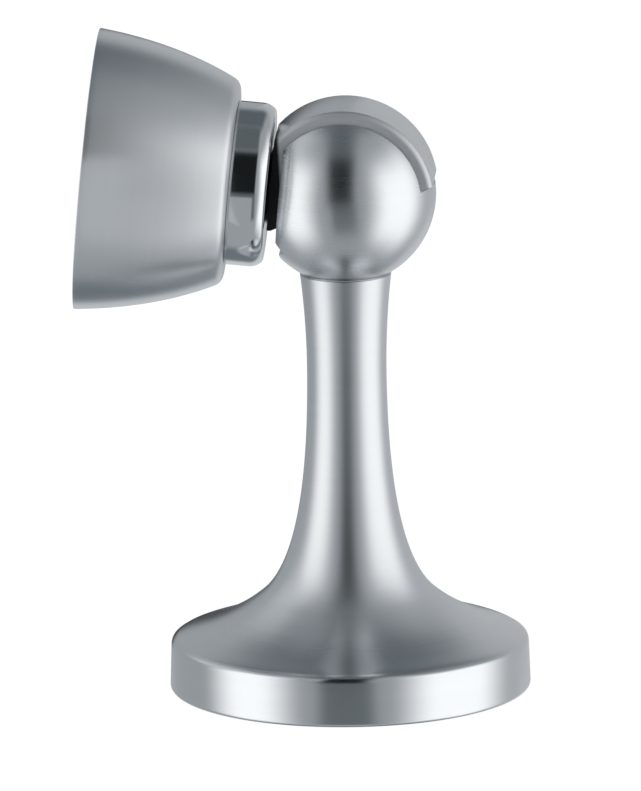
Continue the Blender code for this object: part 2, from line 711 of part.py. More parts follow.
def shade(parts):
    for thing in parts.objects:
        if thing.type != "MESH":
            continue
        thing.data.shade_smooth()
        thing.data.set_sharp_from_angle(angle=SHARP_ANGLE)


def empty(name, location, rotation, collection, parent=None):
    frame = bpy.data.objects.new(name, None)
    frame.location = location
    frame.rotation_euler = rotation
    frame.parent = parent
    collection.objects.link(frame)
    return frame


def main():
    clear_scene()
    parts = new_collection("magnetic_door_holder")
    tools = new_collection("cutters")

    satin_nickel = material("satin_nickel", (0.52, 0.54, 0.55), 0.28, 1.0)
    polished_nickel = material("polished_nickel", (0.62, 0.64, 0.65), 0.12, 1.0)
    zinc_steel = material("zinc_steel", (0.55, 0.56, 0.56), 0.38, 1.0)
    spring_steel = material("spring_steel", (0.32, 0.33, 0.34), 0.35, 1.0)
    magnet_grey = material("magnet_plating", (0.60, 0.60, 0.59), 0.25, 1.0)
    black_plastic = material("black_plastic", (0.02, 0.02, 0.022), 0.5, 0.0)
    white_plastic = material("acetal", (0.75, 0.75, 0.73), 0.4, 0.0)
    black_rubber = material("black_rubber", (0.015, 0.015, 0.015), 0.75, 0.0)

    neck = empty("neck_axis", (0.0, 0.0, 0.0), (0.0, 0.0, 0.0), parts)
    pivot = empty("pivot_axis", (0.0, 0.0, PIVOT_HEIGHT), (0.0, 0.0, 0.0), parts, neck)
    lean = radians(HEAD_RISE - 90.0)
    head = empty("head_axis", (0.0, 0.0, 0.0), (0.0, lean, 0.0), parts, pivot)

    make_pedestal(parts, satin_nickel)
    make_floor_plate(parts, tools, zinc_steel)
    make_neck_hardware(parts, tools, zinc_steel, spring_steel)
    make_fork_ball(parts, tools, pivot, head, satin_nickel)
    make_pivot_hardware(parts, tools, pivot, zinc_steel, white_plastic)
    make_knuckle(parts, tools, pivot, head, satin_nickel)
    make_collar(parts, head, polished_nickel)
    make_cup(parts, head, satin_nickel)
    make_cup_hardware(parts, tools, head, zinc_steel)
    make_magnet_carrier(parts, head, black_plastic)
    make_magnet(parts, head, zinc_steel, magnet_grey, zinc_steel)
    make_mouth_rings(parts, tools, head, black_rubber, spring_steel)
    shade(parts)


main()
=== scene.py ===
"""Magnetic door holder in satin and polished nickel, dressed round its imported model.

Each visible piece is a surface of revolution or a cut one, worked out with numpy from
the sizes in the property groups below. Lengths are in metres and angles in radians.
"""

import json
from math import acos, asin, atan2, cos, pi, radians, sin, tan
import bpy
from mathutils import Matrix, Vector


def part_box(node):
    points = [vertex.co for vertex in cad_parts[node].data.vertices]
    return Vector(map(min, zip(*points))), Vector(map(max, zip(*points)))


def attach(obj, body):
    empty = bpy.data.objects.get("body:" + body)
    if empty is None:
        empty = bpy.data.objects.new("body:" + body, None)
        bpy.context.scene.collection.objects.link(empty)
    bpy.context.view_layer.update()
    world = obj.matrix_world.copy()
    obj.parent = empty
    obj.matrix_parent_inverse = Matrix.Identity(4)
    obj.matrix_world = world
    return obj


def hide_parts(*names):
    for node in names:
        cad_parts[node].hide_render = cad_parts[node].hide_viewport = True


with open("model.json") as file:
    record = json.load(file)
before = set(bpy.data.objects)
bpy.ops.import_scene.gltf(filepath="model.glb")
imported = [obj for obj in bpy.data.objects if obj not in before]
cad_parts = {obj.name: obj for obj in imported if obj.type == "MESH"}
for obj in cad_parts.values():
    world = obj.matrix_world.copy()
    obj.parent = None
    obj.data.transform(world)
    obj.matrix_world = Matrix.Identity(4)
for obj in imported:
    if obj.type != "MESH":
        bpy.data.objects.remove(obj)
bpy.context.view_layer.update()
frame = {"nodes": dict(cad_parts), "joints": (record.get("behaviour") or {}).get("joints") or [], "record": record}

from types import SimpleNamespace

import bmesh
import bpy
import numpy as np
from bpy.props import FloatProperty, FloatVectorProperty, PointerProperty
from mathutils import Matrix, Vector

bl_info = {
    "name": "Magnetic Door Holder",
    "version": (1, 0, 0),
    "blender": (4, 5, 0),
    "location": "3D View > Sidebar > Door Holder",
    "description": "Builds the finished surfaces, finishes and studio of a magnetic door holder",
    "category": "Object",
}

MM = 0.001
TILT = next(joint for joint in frame["joints"] if joint["name"] == "head_tilt")
PIVOT = np.array(TILT["pos_m"], float)
FOOT_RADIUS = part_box("pedestal")[1].x
NECK_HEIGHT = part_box("pedestal")[1].z
BALL_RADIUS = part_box("knuckle")[1].z - PIVOT[2]
MATERIALS = {}

# The radius of the screw's hole through the magnet and its carrier.
MAGNET_SCREW_HOLE = 2.7 * MM
# The side of the square in metres that a cut piece's UV map spans, and the turned grain's bands
# for one turn, its lines for one metre and the scale of its broad bands.
FLAT_UV_SIZE = 0.05
GRAIN_BANDS = 9.0
GRAIN_LINES = 5200.0
GRAIN_BROAD = 0.16


def length(name, description, default):
    """A size in metres that a user can change."""
    return FloatProperty(name=name, description=description, default=default, unit="LENGTH", precision=5)


def turn(name, description, default):
    """An angle, given here in degrees."""
    return FloatProperty(name=name, description=description, default=radians(default), subtype="ANGLE")


def colour(name, description, default):
    """A linear colour."""
    return FloatVectorProperty(
        name=name, description=description, default=default, size=3, min=0.0, max=1.0, subtype="COLOR"
    )


def share(name, description, default):
    """A plain number that isn't a length."""
    return FloatProperty(name=name, description=description, default=default, min=0.0, max=4.0)


class PedestalSizes(bpy.types.PropertyGroup):
    """The foot, the trumpet stem and the neck."""

    foot_radius: length("Foot radius", "Radius of the round foot", FOOT_RADIUS)
    foot_round: length("Foot bottom round", "Rounding of the foot's lower edge", 0.6 * MM)
    rim_height: length("Rim height", "Height of the foot's upright rim", 6.8 * MM)
    rim_draft: length("Rim draft", "How much the rim narrows to its top", 0.2 * MM)
    rim_round: length("Rim round", "Rounding of the crease over the rim", 0.7 * MM)
    neck_height: length("Neck height", "Height of the seam under the ball", NECK_HEIGHT)
    neck_radius: length("Neck radius", "Radius of the stem at the seam", 6.33 * MM)
    waist_height: length("Waist height", "Height of the stem's thinnest place", 45.3 * MM)
    waist_radius: length("Waist radius", "Radius of the stem's thinnest place", 5.5 * MM)
    flare_height: length("Flare height", "Height where the flare turns from hollow to round", 13.4 * MM)
    flare_radius: length("Flare radius", "Radius where the flare turns from hollow to round", 12.1 * MM)
    flare_slope: turn("Flare slope", "Slope of the flare at that place", 40.8)
    recess_radius: length("Recess radius", "Radius of the hollow under the foot", 22.3 * MM)
    recess_height: length("Recess height", "Height of the hollow under the foot", 4.1 * MM)
    screw_hole: length("Screw hole", "Radius of the neck screw's hole", 2.3 * MM)


class BallSizes(bpy.types.PropertyGroup):
    """The slotted ball and the tongue in its slot."""

    radius: length("Ball radius", "Radius of the ball and of the tongue", BALL_RADIUS)
    seat_radius: length("Seat radius", "Radius of the ball's flat seat on the neck", 6.33 * MM)
    cheek_flat: length("Cheek flat", "Distance of the cheeks' flats from the pivot", 8.7 * MM)
    slot_half: length("Slot half width", "Half the width of the slot", 6.4 * MM)
    slot_right: turn("Slot right end", "Angle of the slot's end away from the cup", 7.0)
    slot_left: turn("Slot left end", "Angle of the slot's end under the cup", 221.0)
    saddle: length("Saddle radius", "Radius of the slot's round bottom", 7.3 * MM)
    seat_gap: length("Seat gap", "Gap between pieces that meet", 0.3 * MM)
    running_gap: length("Running gap", "Gap between pieces that turn on each other", 0.25 * MM)
    tilt_range: turn("Tilt range", "How far the head can be tilted down", 15.0)
    stop_margin: turn("Stop margin", "Angle left between tongue and slot at the lower stop", 4.0)
    rim_round: length("Rim round", "Rounding of the tongue's two rims", 0.9 * MM)
    edge: length("Edge round", "Rounding of the cut edges", 0.16 * MM)
    pin: length("Pin radius", "Radius of the pivot screw's shoulder", 3.0 * MM)
    pin_head: length("Pin head radius", "Radius of the pivot screw's head", 4.2 * MM)
    pin_seat: length("Pin head seat", "Depth of the pivot screw's seat from the ball's centre", 8.6 * MM)
    pin_head_height: length("Pin head height", "Height of the pivot screw's head", 2.2 * MM)


class HeadSizes(bpy.types.PropertyGroup):
    """The collar, the cup and what it holds, along the head's axis."""

    rise: turn("Head rise", "How far the head's axis points up at rest", 5.6)
    spigot: length("Spigot radius", "Radius of the tongue's spigot", 5.0 * MM)
    collar_start: length("Collar start", "Distance of the collar from the pivot", 10.4 * MM)
    collar_radius: length("Collar radius", "Radius of the polished collar", 11.35 * MM)
    collar_length: length("Collar length", "Length of the polished collar", 4.95 * MM)
    collar_round: length("Collar round", "Length of the collar's rounded stretch at the ball", 1.9 * MM)
    collar_edge: length("Collar edge", "Tighter rounding at the end of that stretch", 0.8 * MM)
    collar_bend: turn("Collar bend", "Slope of the collar where the tighter rounding starts", 40.0)
    mouth_radius: length("Mouth radius", "Outer radius of the cup's mouth", 19.5 * MM)
    mouth_flare: length("Mouth flare", "How far the outline's first handle leans in at the mouth", 0.4 * MM)
    cup_length: length("Cup length", "Length of the cup", 20.1 * MM)
    back_radius: length("Back radius", "Outer radius at the cup's back", 14.4 * MM)
    back_round: length("Back round", "Rounding of the cup's back edge", 1.7 * MM)
    wall: length("Cup wall", "Thickness of the cup's wall", 1.9 * MM)
    back_wall: length("Cup back wall", "Thickness of the cup's back", 2.4 * MM)
    bore: length("Mouth bore", "Radius of the bore at the mouth", 17.5 * MM)
    bore_depth: length("Mouth bore depth", "Depth of the bore at the mouth", 6.1 * MM)
    groove: length("Groove depth", "Depth of the groove for the retaining ring", 0.8 * MM)
    retainer: length("Retainer width", "Width of the retaining ring", 1.4 * MM)
    flange: length("Carrier flange", "Thickness of the magnet carrier's flange", 2.0 * MM)
    magnet: length("Magnet radius", "Radius of the ring magnet", 12.0 * MM)
    magnet_recess: length("Magnet recess", "Depth of the magnet's face in the mouth", 1.8 * MM)


class FinishColours(bpy.types.PropertyGroup):
    """Colours and roughness of the finishes."""

    nickel: colour("Satin nickel", "Colour of the satin nickel plate", (0.68, 0.70, 0.72))
    polished: colour("Polished nickel", "Colour of the polished collar", (0.70, 0.72, 0.735))
    zinc: colour("Zinc steel", "Colour of the zinc-plated steel", (0.55, 0.56, 0.56))
    spring: colour("Spring steel", "Colour of the spring steel", (0.32, 0.33, 0.34))
    plating: colour("Magnet plating", "Colour of the magnet's plating", (0.66, 0.65, 0.62))
    plastic: colour("Black plastic", "Colour of the magnet carrier", (0.02, 0.02, 0.022))
    acetal: colour("Acetal", "Colour of the friction washers", (0.75, 0.75, 0.73))
    rubber: colour("Rubber", "Colour of the buffer ring", (0.016, 0.016, 0.017))
    satin_roughness: share("Satin roughness", "Roughness of the satin finish", 0.27)
    tongue_roughness: share("Tongue face roughness", "How much rougher the tongue's faces are", 0.32)
    tongue_rim_roughness: share("Tongue rim roughness", "Roughness of the tongue's rim", 0.24)
    foot_roughness: share("Foot roughness", "Roughness of the foot's rim", 0.2)
    stem_roughness: share("Stem roughness", "How much rougher the stem is than the foot's rim", 0.17)
    satin_grain: share("Satin grain", "Stretch of highlights across the turned grain", 0.55)


class StudioSettings(bpy.types.PropertyGroup):
    """The camera, the lamps and the surround."""

    azimuth: turn("Azimuth", "Camera's turn round the object, to its right", 3.2)
    elevation: turn("Elevation", "Camera's height over the horizon", 12.9)
    roll: turn("Roll", "Lean of the picture", 0.73)
    distance: length("Distance", "Distance of the camera", 2.5)
    pixels_per_mm: FloatProperty(name="Scale", description="Pixels for one millimetre", default=7.197)
    tent: colour("Tent", "Colour of the tent's cloth", (0.41, 0.43, 0.45))
    daylight: share("Daylight", "Plain light on dull surfaces", 0.5)
    floor: colour("Floor", "Colour of the floor", (0.9, 0.9, 0.9))


def sizes():
    """The sizes of the pedestal, the ball and the head."""
    scene = bpy.context.scene
    return scene.holder_pedestal, scene.holder_ball, scene.holder_head


def bezier(start, first, second, end, count):
    """A cubic curve from start to end with two handles, as (count + 1) points."""
    t = np.linspace(0.0, 1.0, count + 1)[:, None]
    start, first, second, end = (np.array(p, float) for p in (start, first, second, end))
    return (1 - t) ** 3 * start + 3 * t * (1 - t) ** 2 * first + 3 * t * t * (1 - t) * second + t**3 * end


def arc(centre, radius, start, end, count):
    """A circle's stretch round centre from angle start to end, as (count + 1) points."""
    angle = np.linspace(start, end, count + 1)
    return np.array(centre, float) + radius * np.stack([np.cos(angle), np.sin(angle)], axis=1)


def easy_corner(radius, end, stretch, edge, bend):
    """A ring's edge that bends slowly to an angle and then turns in tightly to its flat end.

    The slow arc's radius w follows from the stretch: w sin(bend) + edge (1 - sin(bend)) = stretch.
    """
    wide = (stretch - edge * (1 - sin(bend))) / sin(bend)
    slow = arc((radius - wide, end + stretch), wide, 0, -bend, 14)
    centre = slow[-1] - edge * np.array([cos(bend), -sin(bend)])
    return chain(slow, arc(centre, edge, -bend, -pi / 2, 8))


def chain(*parts):
    """Stretches of an outline joined into one, without points that repeat."""
    points = np.concatenate([np.atleast_2d(np.array(part, float)) for part in parts])
    step = np.linalg.norm(np.diff(points, axis=0), axis=1)
    return points[np.concatenate([[True], step > 1e-8])]


def fillet(corners, radius, steps=4, closed=False):
    """Corners rounded by quadratic curves.

    A curve leaves each corner's sides at the smaller of the radius and 0.45 of the side:
    (1-t)^2 a + 2t(1-t) corner + t^2 b, with a and b on the two sides.
    """
    corners = np.array(corners, float)
    radius = np.broadcast_to(np.array(radius, float), (len(corners),))
    before = np.roll(corners, 1, axis=0) - corners
    after = np.roll(corners, -1, axis=0) - corners
    first, last = (np.linalg.norm(side, axis=1, keepdims=True) for side in (before, after))
    a = corners + before / first * np.minimum(radius[:, None], 0.45 * first)
    b = corners + after / last * np.minimum(radius[:, None], 0.45 * last)
    t = np.linspace(0.0, 1.0, steps + 1)[None, :, None]
    rounded = (1 - t) ** 2 * a[:, None] + 2 * t * (1 - t) * corners[:, None] + t * t * b[:, None]
    rounded[radius == 0] = corners[radius == 0][:, None]
    if not closed:
        rounded[0], rounded[-1] = corners[0], corners[-1]
    return chain(rounded.reshape(-1, 2))


def head_axis(lowered=0.0):
    """The head's axis at rest, or lowered from there by an angle."""
    _, _, head = sizes()
    return np.array([-cos(head.rise - lowered), 0.0, sin(head.rise - lowered)])


def new_piece(name, mesh):
    """An object at the origin that shows a mesh."""
    piece = bpy.data.objects.new(name, mesh)
    bpy.context.scene.collection.objects.link(piece)
    return piece


def grid_mesh(name, places, uv):
    """A mesh of quads over a grid of places (rows, columns, 3) with its UV grid.

    It is welded where it meets itself.
    """
    rows, columns = places.shape[:2]
    index = np.arange(rows * columns).reshape(rows, columns)
    quads = np.stack([index[:-1, :-1], index[1:, :-1], index[1:, 1:], index[:-1, 1:]], axis=-1)
    quads = quads.reshape(-1, 4)
    mesh = bpy.data.meshes.new(name)
    mesh.vertices.add(rows * columns)
    mesh.vertices.foreach_set("co", places.reshape(-1))
    mesh.loops.add(quads.size)
    mesh.loops.foreach_set("vertex_index", quads.reshape(-1))
    mesh.polygons.add(len(quads))
    mesh.polygons.foreach_set("loop_start", np.arange(0, quads.size, 4))
    mesh.update(calc_edges=True)
    layer = mesh.uv_layers.new(name="UVMap")
    layer.data.foreach_set("uv", uv.reshape(-1, 2)[quads.reshape(-1)].reshape(-1))
    weld(mesh)
    return mesh


def weld(mesh):
    """Merges doubled points, drops faces with no area and turns all faces outwards."""
    form = bmesh.new()
    form.from_mesh(mesh)
    bmesh.ops.remove_doubles(form, verts=form.verts, dist=1e-7)
    bmesh.ops.dissolve_degenerate(form, dist=1e-8, edges=form.edges)
    bmesh.ops.recalc_face_normals(form, faces=form.faces)
    form.to_mesh(mesh)
    form.free()


def revolve(name, outline, origin=(0, 0, 0), axis=(0, 0, 1), columns=192, sweep=(0.0, 2 * pi)):
    """A surface of revolution.

    Point (s, a) = origin + u(s) axis + r(s) (cos a e1 + sin a e2), for outline points (r, u).
    An outline that doesn't start on the axis is closed into a ring. The UV map holds the turn
    as 0 to 1 and the length along the outline in metres, so that U runs round the axis.
    """
    outline = np.array(outline, float)
    if outline[0, 0] > 0:
        outline = np.vstack([outline, outline[:1]])
    axis = Vector(axis).normalized()
    side = Vector((0, 1, 0)) if abs(axis.y) < 0.9 else Vector((0, 0, 1))
    e1 = axis.cross(side).normalized()
    e2 = axis.cross(e1)
    angle = np.linspace(*sweep, columns + 1)
    ring = np.cos(angle)[:, None] * np.array(e1) + np.sin(angle)[:, None] * np.array(e2)
    places = np.array(origin, float) + outline[:, None, 1:] * np.array(axis) + outline[:, None, :1] * ring
    travel = np.concatenate([[0.0], np.cumsum(np.linalg.norm(np.diff(outline, axis=0), axis=1))])
    turns, travels = np.meshgrid(angle / (2 * pi), travel)
    mesh = grid_mesh(name, places, np.stack([turns, travels], axis=-1))
    if sweep[1] - sweep[0] < 2 * pi - 1e-6:
        close_ends(mesh)
    return new_piece(name, mesh)


def close_ends(mesh):
    """Fills the open ends of a surface that doesn't go all the way round."""
    form = bmesh.new()
    form.from_mesh(mesh)
    open_edges = [edge for edge in form.edges if edge.is_boundary]
    bmesh.ops.holes_fill(form, edges=open_edges, sides=0)
    bmesh.ops.recalc_face_normals(form, faces=form.faces)
    form.to_mesh(mesh)
    form.free()


def prism(name, outline, half_width):
    """An outline in the XZ plane round the pivot, extruded along Y both ways."""
    outline = np.array(outline, float)
    count = len(outline)
    depths = (-half_width, half_width)
    sides = [np.column_stack([outline[:, 0], np.full(count, y), outline[:, 1]]) for y in depths]
    index = np.arange(count)
    step = np.roll(index, -1)
    walls = np.stack([index, step, step + count, index + count], axis=-1)
    mesh = bpy.data.meshes.new(name)
    caps = [index[::-1].tolist(), (index + count).tolist()]
    mesh.from_pydata((np.concatenate(sides) + PIVOT).tolist(), [], walls.tolist() + caps)
    layer = mesh.uv_layers.new(name="UVMap")
    corner = np.empty(len(mesh.loops), int)
    mesh.loops.foreach_get("vertex_index", corner)
    flat = (np.concatenate([outline, outline]) / FLAT_UV_SIZE)[corner]
    layer.data.foreach_set("uv", flat.reshape(-1))
    weld(mesh)
    return new_piece(name, mesh)


def cut(piece, tool, operation="DIFFERENCE"):
    """One exact Boolean, applied at once; the tool is removed."""
    step = piece.modifiers.new("cut", "BOOLEAN")
    step.operation = operation
    step.solver = "EXACT"
    step.object = tool
    apply_all(piece)
    bpy.data.objects.remove(tool, do_unlink=True)


def apply_all(piece):
    """Puts the result of a piece's modifiers in its mesh."""
    graph = bpy.context.evaluated_depsgraph_get()
    made = bpy.data.meshes.new_from_object(piece.evaluated_get(graph), depsgraph=graph)
    piece.modifiers.clear()
    piece.data = made


def finish_piece(piece, finish, body, *nodes, slot=None, sharp=30.0):
    """Smooth shading, material, body and the CAD nodes that the piece stands for."""
    piece.data.materials.clear()
    piece.data.materials.append(MATERIALS[finish])
    piece.data.shade_smooth()
    piece.data.set_sharp_from_angle(angle=radians(sharp))
    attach(piece, body)
    if nodes:
        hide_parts(*nodes)
    return piece


def soften(piece, width, segments=3, sharp=40.0, weighted=False):
    """Rounded edges where two faces meet at more than the sharp angle, or where edges have a weight."""
    bevel = piece.modifiers.new("edges", "BEVEL")
    bevel.width = width
    bevel.segments = segments
    bevel.limit_method = "WEIGHT" if weighted else "ANGLE"
    bevel.angle_limit = radians(sharp)
    bevel.use_clamp_overlap = True
    apply_all(piece)


def from_pivot(mesh):
    """The places of a mesh's points, seen from the pivot."""
    place = np.empty(3 * len(mesh.vertices))
    mesh.vertices.foreach_get("co", place)
    return place.reshape(-1, 3) - PIVOT


def weigh_rim(mesh, radius, half_width):
    """Gives a weight to the edges on two circles round the pivot, at half_width to each side."""
    out = from_pivot(mesh)
    on_radius = np.abs(np.hypot(out[:, 0], out[:, 2]) - radius) < 0.002 * MM
    on_rim = on_radius & (np.abs(np.abs(out[:, 1]) - half_width) < 0.002 * MM)
    ends = np.empty(2 * len(mesh.edges), int)
    mesh.edges.foreach_get("vertices", ends)
    ends = ends.reshape(-1, 2)
    same_side = out[ends[:, 0], 1] * out[ends[:, 1], 1] > 0
    weight = mesh.attributes.new("bevel_weight_edge", "FLOAT", "EDGE")
    weight.data.foreach_set("value", (on_rim[ends].all(axis=1) & same_side).astype(float))


def round_normals(mesh, radius):
    """Points on the sphere round the pivot take the sphere's own normal (p - pivot) / |p - pivot|."""
    out = from_pivot(mesh)
    away = np.linalg.norm(out, axis=1, keepdims=True)
    on_sphere = np.abs(away - radius) < 0.006 * MM
    mesh.normals_split_custom_set_from_vertices(np.where(on_sphere, out / away, 0.0).tolist())


def socket(group, name, kind, way="INPUT", default=None):
    """A named input or output of a shader node group."""
    made = group.interface.new_socket(name=name, in_out=way, socket_type=kind)
    if default is not None:
        made.default_value = default
    return made


def maths(tree, operation, first, second=None, clamp=False):
    """A Math node on numbers or sockets, and its output."""
    node = tree.nodes.new("ShaderNodeMath")
    node.operation = operation
    node.use_clamp = clamp
    for slot, value in zip(node.inputs, (first, second)):
        if isinstance(value, (int, float)):
            slot.default_value = value
        elif value is not None:
            tree.links.new(value, slot)
    return node.outputs[0]


def grain_group():
    """Fine turned grain: noise stretched along U, as a roughness, a height and a mask for the tint."""
    group = bpy.data.node_groups.new("turned grain", "ShaderNodeTree")
    socket(group, "UV", "NodeSocketVector")
    socket(group, "Roughness", "NodeSocketFloat", default=0.25)
    socket(group, "Spread", "NodeSocketFloat", default=0.05)
    for name in ("Roughness", "Height", "Tone"):
        socket(group, name, "NodeSocketFloat", "OUTPUT")
    enter = group.nodes.new("NodeGroupInput")
    leave = group.nodes.new("NodeGroupOutput")
    split = group.nodes.new("ShaderNodeSeparateXYZ")
    join = group.nodes.new("ShaderNodeCombineXYZ")
    group.links.new(enter.outputs["UV"], split.inputs[0])
    group.links.new(maths(group, "MULTIPLY", split.outputs["X"], GRAIN_BANDS), join.inputs["X"])
    group.links.new(maths(group, "MULTIPLY", split.outputs["Y"], GRAIN_LINES), join.inputs["Y"])
    fine = group.nodes.new("ShaderNodeTexNoise")
    fine.inputs["Scale"].default_value = 1.0
    fine.inputs["Detail"].default_value = 3.0
    group.links.new(join.outputs[0], fine.inputs["Vector"])
    broad = group.nodes.new("ShaderNodeTexNoise")
    broad.inputs["Scale"].default_value = GRAIN_BROAD
    broad.inputs["Detail"].default_value = 2.0
    group.links.new(join.outputs[0], broad.inputs["Vector"])
    lifts = [maths(group, "SUBTRACT", noise.outputs["Fac"], 0.5) for noise in (fine, broad)]
    spread = maths(group, "MULTIPLY", maths(group, "ADD", *lifts), enter.outputs["Spread"])
    rough = maths(group, "ADD", spread, enter.outputs["Roughness"], clamp=True)
    group.links.new(rough, leave.inputs["Roughness"])
    group.links.new(fine.outputs["Fac"], leave.inputs["Height"])
    group.links.new(broad.outputs["Fac"], leave.inputs["Tone"])
    return group


def new_material(name):
    """A material with its tree and its Principled shader."""
    made = bpy.data.materials.new(name)
    made.use_nodes = True
    return made, made.node_tree, made.node_tree.nodes["Principled BSDF"]


def tint_by(tree, mask, tint, change):
    """Lets a mask take the base colour from a little darker to a little lighter."""
    blend = tree.nodes.new("ShaderNodeMix")
    blend.data_type = "RGBA"
    blend.inputs[6].default_value = (*[(1 - change) * c for c in tint], 1.0)
    blend.inputs[7].default_value = (*[min(1.0, (1 + change) * c) for c in tint], 1.0)
    tree.links.new(mask, blend.inputs[0])
    tree.links.new(blend.outputs[2], tree.nodes["Principled BSDF"].inputs["Base Color"])


def emboss(tree, height, strength, depth):
    """Lets a height raise the surface by up to a depth in metres."""
    relief = tree.nodes.new("ShaderNodeBump")
    relief.inputs["Strength"].default_value = strength
    relief.inputs["Distance"].default_value = depth
    tree.links.new(height, relief.inputs["Height"])
    tree.links.new(relief.outputs[0], tree.nodes["Principled BSDF"].inputs["Normal"])


def metal(name, tint, roughness, spread, stretch, bump):
    """A turned metal finish, whose highlights stretch across the grain."""
    made, tree, shader = new_material(name)
    shader.inputs["Metallic"].default_value = 1.0
    shader.inputs["Anisotropic"].default_value = stretch
    shader.inputs["Anisotropic Rotation"].default_value = 0.25
    place = tree.nodes.new("ShaderNodeUVMap")
    place.uv_map = "UVMap"
    grain = tree.nodes.new("ShaderNodeGroup")
    grain.node_tree = bpy.data.node_groups["turned grain"]
    grain.inputs["Roughness"].default_value = roughness
    grain.inputs["Spread"].default_value = spread
    tree.links.new(place.outputs[0], grain.inputs["UV"])
    tree.links.new(grain.outputs["Roughness"], shader.inputs["Roughness"])
    tint_by(tree, grain.outputs["Tone"], tint, 0.03)
    emboss(tree, grain.outputs["Height"], bump, 0.02 * MM)
    if stretch > 0:
        tangent = tree.nodes.new("ShaderNodeTangent")
        tangent.direction_type = "UV_MAP"
        tangent.uv_map = "UVMap"
        tree.links.new(tangent.outputs[0], shader.inputs["Tangent"])
    MATERIALS[name] = made
    return made


def vary_roughness(made, axis, start, end, more):
    """Adds to a finish's roughness where the size of an Object coordinate goes from start to end."""
    tree = made.node_tree
    shader = tree.nodes["Principled BSDF"]
    place = tree.nodes.new("ShaderNodeTexCoord")
    split = tree.nodes.new("ShaderNodeSeparateXYZ")
    tree.links.new(place.outputs["Object"], split.inputs[0])
    ramp = tree.nodes.new("ShaderNodeMapRange")
    ramp.interpolation_type = "SMOOTHSTEP"
    tree.links.new(maths(tree, "ABSOLUTE", split.outputs[axis]), ramp.inputs["Value"])
    ramp.inputs["From Min"].default_value = start
    ramp.inputs["From Max"].default_value = end
    ramp.inputs["To Max"].default_value = more
    before = shader.inputs["Roughness"].links[0].from_socket
    tree.links.new(maths(tree, "ADD", before, ramp.outputs["Result"]), shader.inputs["Roughness"])


def metal_with_painted_gap_shade(name, tint, roughness):
    """Nickel with shade painted into its colour: near black in the deep gap at the collar.

    The mask is (p - pivot) . (axis - 0.15 up) from Object coordinates, with up square to the
    head's axis, so it starts a little nearer to the collar at the tongue's top.
    """
    made = metal(name, tint, roughness, spread=0.05, stretch=0.0, bump=0.2)
    tree = made.node_tree
    shader = tree.nodes["Principled BSDF"]
    _, b, _ = sizes()
    axis = head_axis()
    face = b.slot_half - b.seat_gap
    more = bpy.context.scene.holder_finish.tongue_roughness
    vary_roughness(made, "Y", face - b.rim_round, face - 0.4 * b.rim_round, more)
    place = tree.nodes.new("ShaderNodeTexCoord")
    along = tree.nodes.new("ShaderNodeVectorMath")
    along.operation = "DOT_PRODUCT"
    slanted = axis - 0.15 * np.array([axis[2], 0.0, -axis[0]])
    along.inputs[1].default_value = slanted
    tree.links.new(place.outputs["Object"], along.inputs[0])
    # Mask of the painted shade: it rises from 0 to 1 over the half millimetre before the cheeks' flats and stays 1
    # towards the collar.
    depth = tree.nodes.new("ShaderNodeMapRange")
    depth.interpolation_type = "SMOOTHSTEP"
    depth.inputs["From Min"].default_value = float(PIVOT @ slanted) + b.cheek_flat - 0.5 * MM
    depth.inputs["From Max"].default_value = float(PIVOT @ slanted) + b.cheek_flat
    tree.links.new(along.outputs["Value"], depth.inputs["Value"])
    blend = tree.nodes.new("ShaderNodeMix")
    blend.data_type = "RGBA"
    tree.links.new(depth.outputs["Result"], blend.inputs[0])
    tree.links.new(shader.inputs["Base Color"].links[0].from_socket, blend.inputs[6])
    # Painted shade: a near-black base colour where the gap at the collar lies in shade.
    blend.inputs[7].default_value = (0.03, 0.033, 0.034, 1.0)
    tree.links.new(blend.outputs[2], shader.inputs["Base Color"])
    return made


def moulded(name, tint, roughness, grit):
    """A moulded plastic or rubber with a fine grit, on Object coordinates."""
    made, tree, shader = new_material(name)
    place = tree.nodes.new("ShaderNodeTexCoord")
    speck = tree.nodes.new("ShaderNodeTexNoise")
    speck.inputs["Scale"].default_value = 4200.0
    speck.inputs["Detail"].default_value = 3.0
    tree.links.new(place.outputs["Object"], speck.inputs["Vector"])
    tint_by(tree, speck.outputs["Fac"], tint, 0.15)
    patchy = maths(tree, "MULTIPLY", speck.outputs["Fac"], 0.2)
    tree.links.new(maths(tree, "ADD", patchy, roughness - 0.1), shader.inputs["Roughness"])
    emboss(tree, speck.outputs["Fac"], grit, 0.05 * MM)
    MATERIALS[name] = made
    return made


class HOLDER_OT_finishes(bpy.types.Operator):
    """Make the finishes and give the hidden nodes theirs"""

    bl_idname = "holder.finishes"
    bl_label = "Finishes"

    def execute(self, context):
        c = context.scene.holder_finish
        grain_group()
        satin, grain = c.satin_roughness, c.satin_grain
        metal("satin_nickel", c.nickel, satin, spread=0.02, stretch=grain, bump=0.05)
        metal("cup_nickel", c.nickel, satin + 0.06, spread=0.03, stretch=grain + 0.17, bump=0.06)
        stem = metal("stem_nickel", c.nickel, c.foot_roughness, spread=0.02, stretch=grain, bump=0.05)
        vary_roughness(stem, "Z", start=6 * MM, end=14 * MM, more=c.stem_roughness)
        # The tongue's nickel has shade painted near black into its colour in the gap at the collar.
        metal_with_painted_gap_shade("tongue_nickel", c.nickel, c.tongue_rim_roughness)
        metal("polished_nickel", c.polished, 0.09, spread=0.03, stretch=0.3, bump=0.1)
        metal("zinc_steel", c.zinc, 0.36, spread=0.1, stretch=0.0, bump=0.4)
        metal("spring_steel", c.spring, 0.33, spread=0.1, stretch=0.0, bump=0.3)
        metal("magnet_plating", c.plating, 0.2, spread=0.06, stretch=0.0, bump=0.15)
        moulded("black_plastic", c.plastic, 0.45, grit=0.25)
        moulded("acetal", c.acetal, 0.4, grit=0.1)
        moulded("black_rubber", c.rubber, 0.72, grit=0.5)
        slots = {row["node"]: row["material_slot"] for row in frame["record"]["subparts"]}
        for name, node in frame["nodes"].items():
            node.data.materials.clear()
            node.data.materials.append(MATERIALS[slots[name]])
        return {"FINISHED"}


